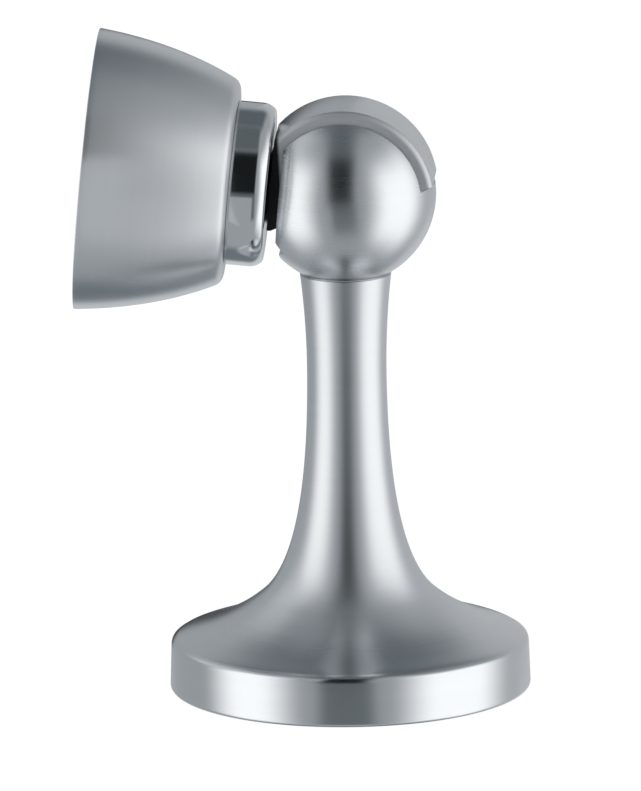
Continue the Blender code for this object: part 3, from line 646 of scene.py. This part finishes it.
class HOLDER_OT_pedestal(bpy.types.Operator):
    """Make the trumpet pedestal with its foot"""

    bl_idname = "holder.pedestal"
    bl_label = "Pedestal"

    def execute(self, context):
        p, _, _ = sizes()
        neck = np.array([p.neck_radius, p.neck_height])
        waist = np.array([p.waist_radius, p.waist_height])
        flare = np.array([p.flare_radius, p.flare_height])
        crease = np.array([p.foot_radius - p.rim_draft, p.rim_height])
        down = np.array([cos(p.flare_slope), -sin(p.flare_slope)])
        below_neck = neck - np.array([0.6, 4.8]) * MM
        above_waist = waist + np.array([0, 3.6 * MM])
        below_waist = waist - np.array([0, 14.7 * MM])
        lip = crease + np.array([-0.9, 1.05]) * MM
        side = chain(
            bezier(neck, below_neck, above_waist, waist, 40),
            bezier(waist, below_waist, flare - 6.7 * MM * down, flare, 60),
            bezier(flare, flare + 7.8 * MM * down, lip, crease, 70),
        )
        top = arc(neck - np.array([0.05, 0.05]) * MM, 0.05 * MM, pi / 2, 0, 3)
        side = side[np.linalg.norm(side - crease, axis=1) > 1.2 * p.rim_round]
        rim = fillet([side[-1], crease, (p.foot_radius, p.foot_round)], (0, p.rim_round, 0), 8)
        foot = arc((p.foot_radius - p.foot_round, p.foot_round), p.foot_round, 0, -pi / 2, 6)
        stud_hole, screw_bore = 5.3 * MM, 3.8 * MM
        screw_seat = p.neck_height - 3.5 * MM
        inside = fillet(
            [
                (p.recess_radius, 0.0),
                (p.recess_radius, p.recess_height),
                (6.2 * MM, p.recess_height),
                (stud_hole, p.recess_height + 0.9 * MM),
                (stud_hole, 14.2 * MM),
                (screw_bore, 15.7 * MM),
                (screw_bore, screw_seat),
                (p.screw_hole, screw_seat),
                (p.screw_hole, p.neck_height),
            ],
            0.15 * MM,
            2,
        )
        outline = chain(top, side[1:], rim, foot, inside)
        piece = revolve("pedestal_skin", outline, columns=256)
        finish_piece(piece, "stem_nickel", "base", "pedestal", slot="satin_nickel", sharp=50)
        return {"FINISHED"}


class HOLDER_OT_ball(bpy.types.Operator):
    """Make the slotted ball and the pivot screw behind it"""

    bl_idname = "holder.ball"
    bl_label = "Slotted ball"

    def execute(self, context):
        p, b, h = sizes()
        bottom = p.neck_height + 0.05 * MM - PIVOT[2]
        low = asin(b.seat_radius / b.radius) - pi / 2
        outline = chain(
            arc((0, 0), b.radius, pi / 2, low, 110),
            (b.seat_radius - 0.05 * MM, bottom),
            (0.0, bottom),
        )
        outline[0, 0] = 0.0
        ball = revolve("fork_ball_skin", outline, PIVOT, columns=256)
        saddle = arc((0, 0), b.saddle, b.slot_left, b.slot_right + 2 * pi, 90)
        sector = arc((0, 0), 2 * b.radius, b.slot_right, b.slot_left, 12)
        cut(ball, prism("slot", np.concatenate([saddle, sector]), b.slot_half))
        relief = [(0, 2 * b.radius), (b.radius, 2 * b.radius), (b.radius, b.cheek_flat), (0, b.cheek_flat)]
        cut(ball, revolve("relief", relief, PIVOT, head_axis(), 64))
        reach = h.collar_start - b.seat_gap
        sweep = [(0, 2 * b.radius), (b.radius, 2 * b.radius), (b.radius, reach), (0, reach)]
        cut(ball, revolve("sweep", sweep, PIVOT, head_axis(b.tilt_range), 64))
        outside, head_hole, pin_hole = 30 * MM, b.pin_head + b.seat_gap, b.pin + b.running_gap
        thread, thread_end = 2.7 * MM, -b.slot_half - 3.7 * MM
        drill = [(0, outside), (head_hole, outside), (head_hole, b.pin_seat), (pin_hole, b.pin_seat)]
        drill += [(pin_hole, 0.0), (thread, 0.0), (thread, thread_end), (0, thread_end)]
        cut(ball, revolve("drill", drill, PIVOT, (0, 1, 0), 96))
        hole = [(0, 0), (p.screw_hole, 0), (p.screw_hole, 2 * bottom), (0, 2 * bottom)]
        cut(ball, revolve("screw_hole", hole, PIVOT, columns=64))
        soften(ball, b.edge)
        finish_piece(ball, "satin_nickel", "fork", "fork_ball", sharp=50)
        round_normals(ball.data, b.radius)

        start = b.pin_seat + b.seat_gap
        end = start + b.pin_head_height
        corners = [(0, end), (b.pin_head, end), (b.pin_head, start), (b.pin, start)]
        corners += [(b.pin, -b.slot_half), (0, -b.slot_half)]
        head = fillet(corners, (0, 0.3 * MM, 0, 0, 0, 0))
        screw = revolve("pivot_screw_skin", head, PIVOT, (0, 1, 0), 96)
        key_radius, key_end = 2.0 * MM, end - 1.5 * MM
        key = [(0, end + MM), (key_radius, end + MM), (key_radius, key_end), (0, key_end)]
        cut(screw, revolve("key", key, PIVOT, (0, 1, 0), 6))
        finish_piece(screw, "zinc_steel", "fork", "pivot_screw")
        return {"FINISHED"}


class HOLDER_OT_knuckle(bpy.types.Operator):
    """Make the round tongue with its spigot"""

    bl_idname = "holder.knuckle"
    bl_label = "Knuckle"

    def execute(self, context):
        _, b, h = sizes()
        start = h.collar_start
        shoulder = start - b.seat_gap
        heading = pi - h.rise
        right = b.slot_right + b.seat_gap / b.saddle
        top_left = heading - acos(shoulder / b.radius)
        low = b.slot_left - b.tilt_range - b.stop_margin
        turn_in = np.array([[cos(heading), -sin(heading)], [sin(heading), cos(heading)]])
        flats = np.array([(shoulder, h.spigot), (h.spigot / tan(low - heading), h.spigot)]) @ turn_in.T
        outline = np.concatenate(
            [
                arc((0, 0), b.radius, right, top_left, 110),
                flats,
                arc((0, 0), b.saddle - b.seat_gap, low, right + 2 * pi, 80),
            ]
        )
        tongue = prism("knuckle_skin", outline, b.slot_half - b.seat_gap)
        end = start + h.collar_length + b.seat_gap + h.back_wall - b.seat_gap
        root = shoulder - 0.6 * MM
        rod = [(0, end), (h.spigot, end), (h.spigot, root), (0, root)]
        cut(tongue, revolve("spigot", rod, PIVOT, head_axis(), 96), "UNION")
        recess, floor, bore = 5.8 * MM, b.slot_half - 1.4 * MM, b.pin + b.running_gap
        beside, beyond = 20 * MM, 40 * MM
        drill = [(0, beside), (recess, beside), (recess, floor), (bore, floor), (bore, -floor)]
        drill += [(recess, -floor), (recess, -beside), (0, -beside)]
        cut(tongue, revolve("drill", drill, PIVOT, (0, 1, 0), 96))
        thread, thread_end = 2.7 * MM, end - 7.8 * MM
        hole = [(0, beyond), (thread, beyond), (thread, thread_end), (0, thread_end)]
        cut(tongue, revolve("hole", hole, PIVOT, head_axis(), 48))
        weigh_rim(tongue.data, b.radius, b.slot_half - b.seat_gap)
        soften(tongue, b.rim_round, 8, weighted=True)
        soften(tongue, 0.2 * MM, 3)
        finish_piece(tongue, "tongue_nickel", "head", "knuckle", slot="satin_nickel")
        return {"FINISHED"}


class HOLDER_OT_head(bpy.types.Operator):
    """Make the collar, the bell cup and the magnet assembly"""

    bl_idname = "holder.head"
    bl_label = "Collar, cup and magnet"

    def execute(self, context):
        along = head_places()
        for make in (make_collar, make_cup, make_magnet_carrier, make_magnet):
            make(along)
        make_magnet_screw(along)
        make_buffer_ring(along)
        return {"FINISHED"}


def head_places():
    """Where the head's pieces start and end, as distances from the pivot along the head's axis."""
    _, b, h = sizes()
    at = SimpleNamespace(collar_start=h.collar_start, collar_end=h.collar_start + h.collar_length)
    at.back = at.collar_end + b.seat_gap
    at.inner_back = at.back + h.back_wall
    at.mouth = at.back + h.cup_length
    at.ledge = at.mouth - h.bore_depth
    at.flange = at.ledge + b.seat_gap
    at.flange_end = at.flange + h.flange
    at.retainer = at.flange_end + b.seat_gap
    at.face = at.mouth - h.magnet_recess
    at.magnet_start = at.face - 5.0 * MM
    at.carrier_floor = at.magnet_start - 2.6 * MM
    return at


def make_collar(along):
    """The polished ring between the ball and the cup."""
    _, b, h = sizes()
    bore = h.spigot + b.seat_gap
    face = along.collar_end + b.seat_gap - 0.05 * MM
    collar = chain(
        (bore, face),
        arc((h.collar_radius - 0.1 * MM, face - 0.1 * MM), 0.1 * MM, pi / 2, 0, 4),
        easy_corner(h.collar_radius, along.collar_start, h.collar_round, h.collar_edge, h.collar_bend),
        (bore, along.collar_start),
    )
    piece = revolve("collar_skin", collar, PIVOT, head_axis(), 256)
    finish_piece(piece, "polished_nickel", "head", "collar")


def make_cup(along):
    """The bell-shaped cup: its outside, its back corner, its bore and the groove in its mouth."""
    _, b, h = sizes()
    mouth, back, ring = along.mouth, along.back, along.retainer
    mouth_handle, handle_out, handle_along = 4.5, 3.5, 7.1
    slope = atan2(handle_out, handle_along)
    side_end = back + h.back_round * (1 - sin(slope))
    side = bezier(
        (h.mouth_radius, mouth),
        (h.mouth_radius - h.mouth_flare, mouth - mouth_handle * MM),
        (h.back_radius + handle_out * MM, side_end + handle_along * MM),
        (h.back_radius, side_end),
        60,
    )
    lean = atan2(side[-2, 0] - side[-1, 0], side[-2, 1] - side[-1, 1])
    centre = side[-1] - h.back_round * np.array([cos(lean), -sin(lean)])
    corner = arc(centre, h.back_round, -lean, -pi / 2, 10)
    corner[:, 1] -= corner[-1, 1] - back
    inner = bezier(
        (h.mouth_radius - h.wall, mouth),
        (h.mouth_radius - h.wall, mouth - mouth_handle * MM),
        (h.back_radius - h.wall + handle_out * MM, back + h.back_round + handle_along * MM),
        (h.back_radius - h.wall, back + h.back_round),
        40,
    )
    deep_enough = inner[:, 1] > along.inner_back + h.back_round
    inner = inner[deep_enough & (inner[:, 1] < along.ledge - h.wall)][::-1]
    groove = h.bore + h.groove
    mouth_inside = fillet(
        [
            (inner[-1, 0], along.ledge),
            (h.bore, along.ledge),
            (h.bore, ring - b.seat_gap),
            (groove, ring - b.seat_gap),
            (groove, ring + 1.3 * MM),
            (h.bore, ring + 1.3 * MM),
            (h.bore, mouth),
            (h.mouth_radius, mouth),
            (h.mouth_radius, mouth - MM),
        ],
        (0, 0.1 * MM, 0.08 * MM, 0.08 * MM, 0.08 * MM, 0.08 * MM, 0.25 * MM, 0.12 * MM, 0),
        3,
    )
    bore = h.spigot + b.seat_gap
    outline = chain(
        side[4:-1],
        corner,
        (bore, back),
        (bore, along.inner_back),
        (inner[0, 0] - h.wall, along.inner_back),
        inner,
        mouth_inside[:-1],
    )
    piece = revolve("cup_skin", outline, PIVOT, head_axis(), 256)
    finish_piece(piece, "cup_nickel", "head", "cup", slot="satin_nickel", sharp=50)


def carrier_wall():
    """Outer radius of the magnet carrier's wall."""
    _, b, h = sizes()
    return h.magnet + b.seat_gap + 1.2 * MM


def make_magnet_carrier(along):
    """The plastic holder: a pocket for the magnet, a flange in the cup's bore and a boss at the back."""
    _, b, h = sizes()
    pocket = h.magnet + b.seat_gap
    wall = carrier_wall()
    floor = along.carrier_floor
    boss, boss_end = 5.5 * MM, floor - 3.3 * MM
    carrier = fillet(
        [
            (pocket, along.face),
            (wall, along.face),
            (wall, along.flange_end),
            (h.bore - b.seat_gap, along.flange_end),
            (h.bore - b.seat_gap, along.flange),
            (wall, along.flange),
            (wall, floor - 1.5 * MM),
            (boss, floor - 1.5 * MM),
            (boss, boss_end),
            (MAGNET_SCREW_HOLE, boss_end),
            (MAGNET_SCREW_HOLE, floor),
            (pocket, floor),
        ],
        0.2 * MM,
        3,
        closed=True,
    )
    piece = revolve("magnet_carrier_skin", carrier, PIVOT, head_axis(), 192)
    finish_piece(piece, "black_plastic", "head", "magnet_carrier", sharp=50)


def make_magnet(along):
    """The ring magnet with its countersink."""
    _, _, h = sizes()
    sunk_radius, sunk_depth = 5.1 * MM, 2.4 * MM
    corners = [(sunk_radius, along.face), (h.magnet, along.face), (h.magnet, along.magnet_start)]
    corners += [(MAGNET_SCREW_HOLE, along.magnet_start), (MAGNET_SCREW_HOLE, along.face - sunk_depth)]
    magnet = fillet(corners, (0.1 * MM, 0.3 * MM, 0.1 * MM, 0, 0), 4, closed=True)
    piece = revolve("magnet_skin", magnet, PIVOT, head_axis(), 192)
    finish_piece(piece, "magnet_plating", "head", "magnet", sharp=50)


def make_magnet_screw(along):
    """The countersunk screw through the magnet, with a cross recess."""
    top = along.face - 0.3 * MM
    tip = along.carrier_floor - 3.0 * MM
    head_radius, shank = 4.5 * MM, 2.4 * MM
    corners = [(0, top), (head_radius, top), (shank, top - 2.1 * MM), (shank, tip), (0, tip)]
    screw = fillet(corners, (0, 0.12 * MM, 0, 0, 0))
    piece = revolve("magnet_screw_skin", screw, PIVOT, head_axis(), 96)
    long_half, short_half = 2.6 * MM, 0.45 * MM
    for half in ((long_half, short_half), (short_half, long_half)):
        cut(piece, bar("drive", half, top, 1.3 * MM, head_axis()))
    finish_piece(piece, "zinc_steel", "head", "magnet_screw")


def make_buffer_ring(along):
    """The rubber ring between the carrier's wall and the retaining ring."""
    _, b, h = sizes()
    stand = along.face + 1.2 * MM
    base = along.flange_end + b.seat_gap
    inside = carrier_wall() + b.seat_gap
    outside = h.bore + h.groove - 2 * b.seat_gap - h.retainer
    rubber = fillet(
        [(inside, stand), (outside, stand), (outside, base), (inside, base)],
        (0.5 * MM, 0.5 * MM, 0.1 * MM, 0.1 * MM),
        6,
        closed=True,
    )
    piece = revolve("buffer_ring_skin", rubber, PIVOT, head_axis(), 192)
    finish_piece(piece, "black_rubber", "head", "buffer_ring", sharp=50)


def bar(name, half, top, depth, axis):
    """A cutter for one bar of a cross recess, centred on the head's axis."""
    axis = Vector(axis)
    across = Vector((0, 1, 0))
    up = axis.cross(across)
    form = bmesh.new()
    bmesh.ops.create_cube(form, size=2.0)
    place = Matrix((across * half[0], up * half[1], axis * depth)).transposed().to_4x4()
    place.translation = Vector(PIVOT) + axis * top
    bmesh.ops.transform(form, matrix=place, verts=form.verts)
    bmesh.ops.recalc_face_normals(form, faces=form.faces)
    mesh = bpy.data.meshes.new(name)
    form.to_mesh(mesh)
    form.free()
    mesh.uv_layers.new(name="UVMap")
    return new_piece(name, mesh)


def panel_group():
    """A soft-edged panel in the surround: a mask of two angles in degrees."""
    group = bpy.data.node_groups.new("soft panel", "ShaderNodeTree")
    for name in ("Across", "Up", "Middle", "Half width", "Centre", "Half height", "Edge"):
        socket(group, name, "NodeSocketFloat")
    socket(group, "Mask", "NodeSocketFloat", "OUTPUT")
    enter = group.nodes.new("NodeGroupInput").outputs
    leave = group.nodes.new("NodeGroupOutput")

    def side(angle, middle, half):
        """The share of the panel in one direction: half minus |angle - middle|, eased over the edge."""
        away = maths(group, "ABSOLUTE", maths(group, "SUBTRACT", enter[angle], enter[middle]))
        inside = maths(group, "SUBTRACT", enter[half], away)
        ramp = group.nodes.new("ShaderNodeMapRange")
        ramp.interpolation_type = "SMOOTHSTEP"
        group.links.new(inside, ramp.inputs["Value"])
        group.links.new(maths(group, "MULTIPLY", enter["Edge"], -1.0), ramp.inputs["From Min"])
        group.links.new(enter["Edge"], ramp.inputs["From Max"])
        return ramp.outputs["Result"]

    across = side("Across", "Middle", "Half width")
    high = side("Up", "Centre", "Half height")
    group.links.new(maths(group, "MULTIPLY", across, high), leave.inputs["Mask"])
    return group


# The tent's openings and cards. An opening is placed by its azimuth and elevation. A card is
# placed by its angle to the side and its angle up from the horizon in front, which runs on
# over the top. Each has its middle, half width, centre, half height and soft edge in degrees,
# and the colour that it gives the tent. A later one covers those before it.
OPENINGS = (
    (-66.0, 24.0, -5.0, 42.0, 17.0, (1.4, 1.4, 1.4)),
    (148.0, 36.0, -2.0, 34.0, 12.0, (0.53, 0.545, 0.56)),
    (77.0, 33.0, -6.0, 43.0, 18.0, (1.4, 1.4, 1.4)),
    (-170.0, 12.0, -2.0, 8.0, 4.0, (0.02, 0.022, 0.024)),
)
CARDS = (
    (0.5, 17.0, -20.0, 20.0, 5.0, (0.17, 0.19, 0.20)),
    (-2.0, 16.0, 29.0, 31.0, 5.0, (0.012, 0.014, 0.015)),
    (-2.0, 15.0, 80.0, 22.0, 8.0, (0.13, 0.15, 0.16)),
    (-48.0, 20.0, 116.0, 30.0, 12.0, (0.66, 0.68, 0.70)),
    (-1.0, 21.0, 119.0, 21.0, 9.0, (0.13, 0.15, 0.165)),
    (-2.0, 20.0, -112.0, 19.0, 9.0, (0.19, 0.22, 0.24)),
    (5.0, 28.0, -148.0, 14.0, 6.0, (0.66, 0.68, 0.70)),
)

# The small cards before the head: name, the two ends seen from above, the low and the high edge
# in millimetres, and the colour. The second one lies on a line through the ball, which sees it
# edge on.
NEAR_CARDS = (
    ("collar_card", (-30.0, -60.0), (-12.5, -60.0), 14.0, 66.0, (0.41, 0.43, 0.45)),
    ("cup_card", (-46.0, -71.0), (-22.6, -42.4), 28.0, 92.0, (0.54, 0.56, 0.58)),
)


class HOLDER_OT_studio(bpy.types.Operator):
    """Make the floor, the surround, the lamps and the camera"""

    bl_idname = "holder.studio"
    bl_label = "Studio"

    def execute(self, context):
        studio = context.scene.holder_studio
        make_surround(studio)
        make_tent(studio)
        make_near_cards()
        make_floor(studio)
        make_lamps()
        make_camera(studio)
        context.scene.view_settings.view_transform = "Standard"
        return {"FINISHED"}


def seen_directly(tree):
    """A mask that is 1 for the camera, for reflections and for light that goes through."""
    path = tree.nodes.new("ShaderNodeLightPath")
    straight = maths(tree, "MAXIMUM", path.outputs["Is Camera Ray"], path.outputs["Is Transmission Ray"])
    return maths(tree, "MAXIMUM", straight, path.outputs["Is Glossy Ray"])


def only_in_reflections(thing):
    """Hides a thing from everything but reflections."""
    thing.visible_camera = thing.visible_diffuse = thing.visible_shadow = False
    thing.visible_transmission = thing.visible_volume_scatter = False


def glowing(thing):
    """Gives a thing a material of its own that only glows, and returns its tree and its glow."""
    made, tree, _ = new_material(thing.name)
    tree.nodes.clear()
    glow = tree.nodes.new("ShaderNodeEmission")
    out = tree.nodes.new("ShaderNodeOutputMaterial")
    tree.links.new(glow.outputs[0], out.inputs[0])
    thing.data.materials.append(made)
    return tree, glow


def make_surround(studio):
    """A white background, also for reflections, over a plain level of light for dull surfaces."""
    world = bpy.data.worlds.new("surround")
    bpy.context.scene.world = world
    world.use_nodes = True
    tree = world.node_tree
    tree.nodes.clear()
    blend = tree.nodes.new("ShaderNodeMixShader")
    tree.links.new(seen_directly(tree), blend.inputs[0])
    for index, strength in ((1, studio.daylight), (2, 1.0)):
        white = tree.nodes.new("ShaderNodeBackground")
        white.inputs["Color"].default_value = (1.0, 1.0, 1.0, 1.0)
        white.inputs["Strength"].default_value = strength
        tree.links.new(white.outputs[0], blend.inputs[index])
    out = tree.nodes.new("ShaderNodeOutputWorld")
    tree.links.new(blend.outputs[0], out.inputs[0])


def make_tent(studio):
    """A round tent of soft grey cloth with white side openings and dark cards in front.

    Only reflections see it. A point of the sphere has azimuth atan2(x, -y) and elevation
    asin(z / radius), or else lies asin(x / radius) to the side and atan2(z, -y) up.
    """
    panel_group()
    radius = 4.0
    u, v = np.meshgrid(np.linspace(0, 2 * pi, 65), np.linspace(-pi / 2, pi / 2, 33))
    places = radius * np.stack([np.cos(v) * np.cos(u), np.cos(v) * np.sin(u), np.sin(v)], axis=-1)
    tent = new_piece("tent", grid_mesh("tent", places, np.stack([u, v], axis=-1)))
    tent.data.shade_smooth()
    only_in_reflections(tent)
    tree, glow = glowing(tent)
    coord = tree.nodes.new("ShaderNodeTexCoord")
    split = tree.nodes.new("ShaderNodeSeparateXYZ")
    tree.links.new(coord.outputs["Object"], split.inputs[0])
    x, y, z = split.outputs
    ahead = maths(tree, "MULTIPLY", y, -1.0)
    azimuth = maths(tree, "DEGREES", maths(tree, "ARCTAN2", x, ahead))
    elevation = maths(tree, "DEGREES", maths(tree, "ARCSINE", maths(tree, "DIVIDE", z, radius)))
    aside = maths(tree, "DEGREES", maths(tree, "ARCSINE", maths(tree, "DIVIDE", x, radius)))
    up = maths(tree, "DEGREES", maths(tree, "ARCTAN2", z, ahead))
    patches = [(azimuth, elevation, *opening) for opening in OPENINGS]
    patches += [(aside, up, *card) for card in CARDS]
    last = None
    for across, high, middle, half_width, centre, half_height, edge, tint in patches:
        mask = tree.nodes.new("ShaderNodeGroup")
        mask.node_tree = bpy.data.node_groups["soft panel"]
        tree.links.new(across, mask.inputs["Across"])
        tree.links.new(high, mask.inputs["Up"])
        numbers = {"Middle": middle, "Half width": half_width, "Centre": centre, "Half height": half_height}
        for name, value in {**numbers, "Edge": edge}.items():
            mask.inputs[name].default_value = value
        mix = tree.nodes.new("ShaderNodeMix")
        mix.data_type = "RGBA"
        tree.links.new(mask.outputs[0], mix.inputs[0])
        mix.inputs[7].default_value = (*tint, 1.0)
        if last is None:
            mix.inputs[6].default_value = (*studio.tent, 1.0)
        else:
            tree.links.new(last, mix.inputs[6])
        last = mix.outputs[2]
    tree.links.new(last, glow.inputs["Color"])


def make_near_cards():
    """Small upright cards before the head, which hide parts of the tent from the collar and the cup."""
    for name, first, last, low, high, tint in NEAR_CARDS:
        along, height = np.meshgrid([0.0, 1.0], [low, high])
        ends = np.array([first, last])
        flat = ends[0] + along[..., None] * (ends[1] - ends[0])
        places = np.concatenate([flat, height[..., None]], axis=-1) * MM
        card = new_piece(name, grid_mesh(name, places, np.stack([along, height], axis=-1)))
        only_in_reflections(card)
        _, glow = glowing(card)
        glow.inputs["Color"].default_value = (*tint, 1.0)


def make_floor(studio):
    """A wide pale floor that keeps the object's shadow and runs into the white background."""
    form = bmesh.new()
    bmesh.ops.create_grid(form, x_segments=1, y_segments=1, size=6.0)
    mesh = bpy.data.meshes.new("floor")
    form.to_mesh(mesh)
    form.free()
    floor = new_piece("floor", mesh)
    floor.location.z = -0.02 * MM
    floor.visible_glossy = False
    made, tree, shader = new_material("floor")
    shader.inputs["Base Color"].default_value = (*studio.floor, 1.0)
    shader.inputs["Roughness"].default_value = 0.9
    shader.inputs["Specular IOR Level"].default_value = 0.0
    glow = tree.nodes.new("ShaderNodeEmission")
    glow.inputs["Color"].default_value = (1.0, 1.0, 1.0, 1.0)
    glow.inputs["Strength"].default_value = 1.06
    blend = tree.nodes.new("ShaderNodeMixShader")
    tree.links.new(maths(tree, "MULTIPLY", seen_directly(tree), 0.9), blend.inputs[0])
    tree.links.new(shader.outputs[0], blend.inputs[1])
    tree.links.new(glow.outputs[0], blend.inputs[2])
    tree.links.new(blend.outputs[0], tree.nodes["Material Output"].inputs[0])
    floor.data.materials.append(made)


def make_lamps():
    """One large soft lamp overhead for the floor, the plastics and the shadow."""
    light = bpy.data.lights.new("overhead", "AREA")
    light.shape = "RECTANGLE"
    light.size, light.size_y = 0.8, 0.8
    light.energy = 3.0
    lamp = bpy.data.objects.new("overhead", light)
    lamp.location = (0.1, -0.2, 1.0)
    lamp.rotation_euler = (Vector((0, 0, 0.05)) - lamp.location).to_track_quat("-Z", "Y").to_euler()
    lamp.visible_glossy = False
    lamp.visible_camera = False
    bpy.context.scene.collection.objects.link(lamp)


PHOTO_WIDTH, PHOTO_HEIGHT = 641, 791
FOOT_PIXEL = (350.7, 684.8)


def make_camera(studio):
    """A long lens, set so that the foot's centre falls on its pixel of the photograph."""
    data = bpy.data.cameras.new("camera")
    camera = bpy.data.objects.new("camera", data)
    bpy.context.scene.collection.objects.link(camera)
    bpy.context.scene.camera = camera
    data.sensor_width = 36.0
    data.lens = studio.pixels_per_mm / MM * studio.distance * data.sensor_width / PHOTO_HEIGHT
    data.clip_start, data.clip_end = 0.1, 20.0
    a, e = studio.azimuth, studio.elevation
    back = Vector((sin(a) * cos(e), -cos(a) * cos(e), sin(e)))
    turned = (-back).to_track_quat("-Z", "Y").to_matrix() @ Matrix.Rotation(-studio.roll, 3, "Z")
    right, up = turned.col[0], turned.col[1]
    aside = (PHOTO_WIDTH / 2 - FOOT_PIXEL[0]) / studio.pixels_per_mm * MM
    above = (FOOT_PIXEL[1] - PHOTO_HEIGHT / 2) / studio.pixels_per_mm * MM
    place = back * studio.distance + right * aside + up * above
    camera.matrix_world = Matrix.Translation(place) @ turned.to_4x4()


class HOLDER_PT_panel(bpy.types.Panel):
    """Sizes, colours and steps of the door holder"""

    bl_idname = "HOLDER_PT_panel"
    bl_label = "Magnetic Door Holder"
    bl_space_type = "VIEW_3D"
    bl_region_type = "UI"
    bl_category = "Door Holder"

    def draw(self, context):
        for step in STEPS:
            self.layout.operator(step.bl_idname)
        for name in GROUPS:
            box = self.layout.box()
            settings = getattr(context.scene, name)
            for key in settings.__annotations__:
                box.prop(settings, key)


GROUPS = {
    "holder_pedestal": PedestalSizes,
    "holder_ball": BallSizes,
    "holder_head": HeadSizes,
    "holder_finish": FinishColours,
    "holder_studio": StudioSettings,
}
STEPS = (
    HOLDER_OT_finishes,
    HOLDER_OT_pedestal,
    HOLDER_OT_ball,
    HOLDER_OT_knuckle,
    HOLDER_OT_head,
    HOLDER_OT_studio,
)


def register():
    """Adds the classes, and the groups of sizes to the scene."""
    for kind in (*GROUPS.values(), *STEPS, HOLDER_PT_panel):
        bpy.utils.register_class(kind)
    for name, kind in GROUPS.items():
        setattr(bpy.types.Scene, name, PointerProperty(type=kind))


def unregister():
    """Takes them away again."""
    for name in GROUPS:
        delattr(bpy.types.Scene, name)
    for kind in reversed((*GROUPS.values(), *STEPS, HOLDER_PT_panel)):
        bpy.utils.unregister_class(kind)


def main():
    """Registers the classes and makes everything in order."""
    register()
    bpy.ops.holder.finishes()
    bpy.ops.holder.pedestal()
    bpy.ops.holder.ball()
    bpy.ops.holder.knuckle()
    bpy.ops.holder.head()
    bpy.ops.holder.studio()


if __name__ == "__main__":
    main()
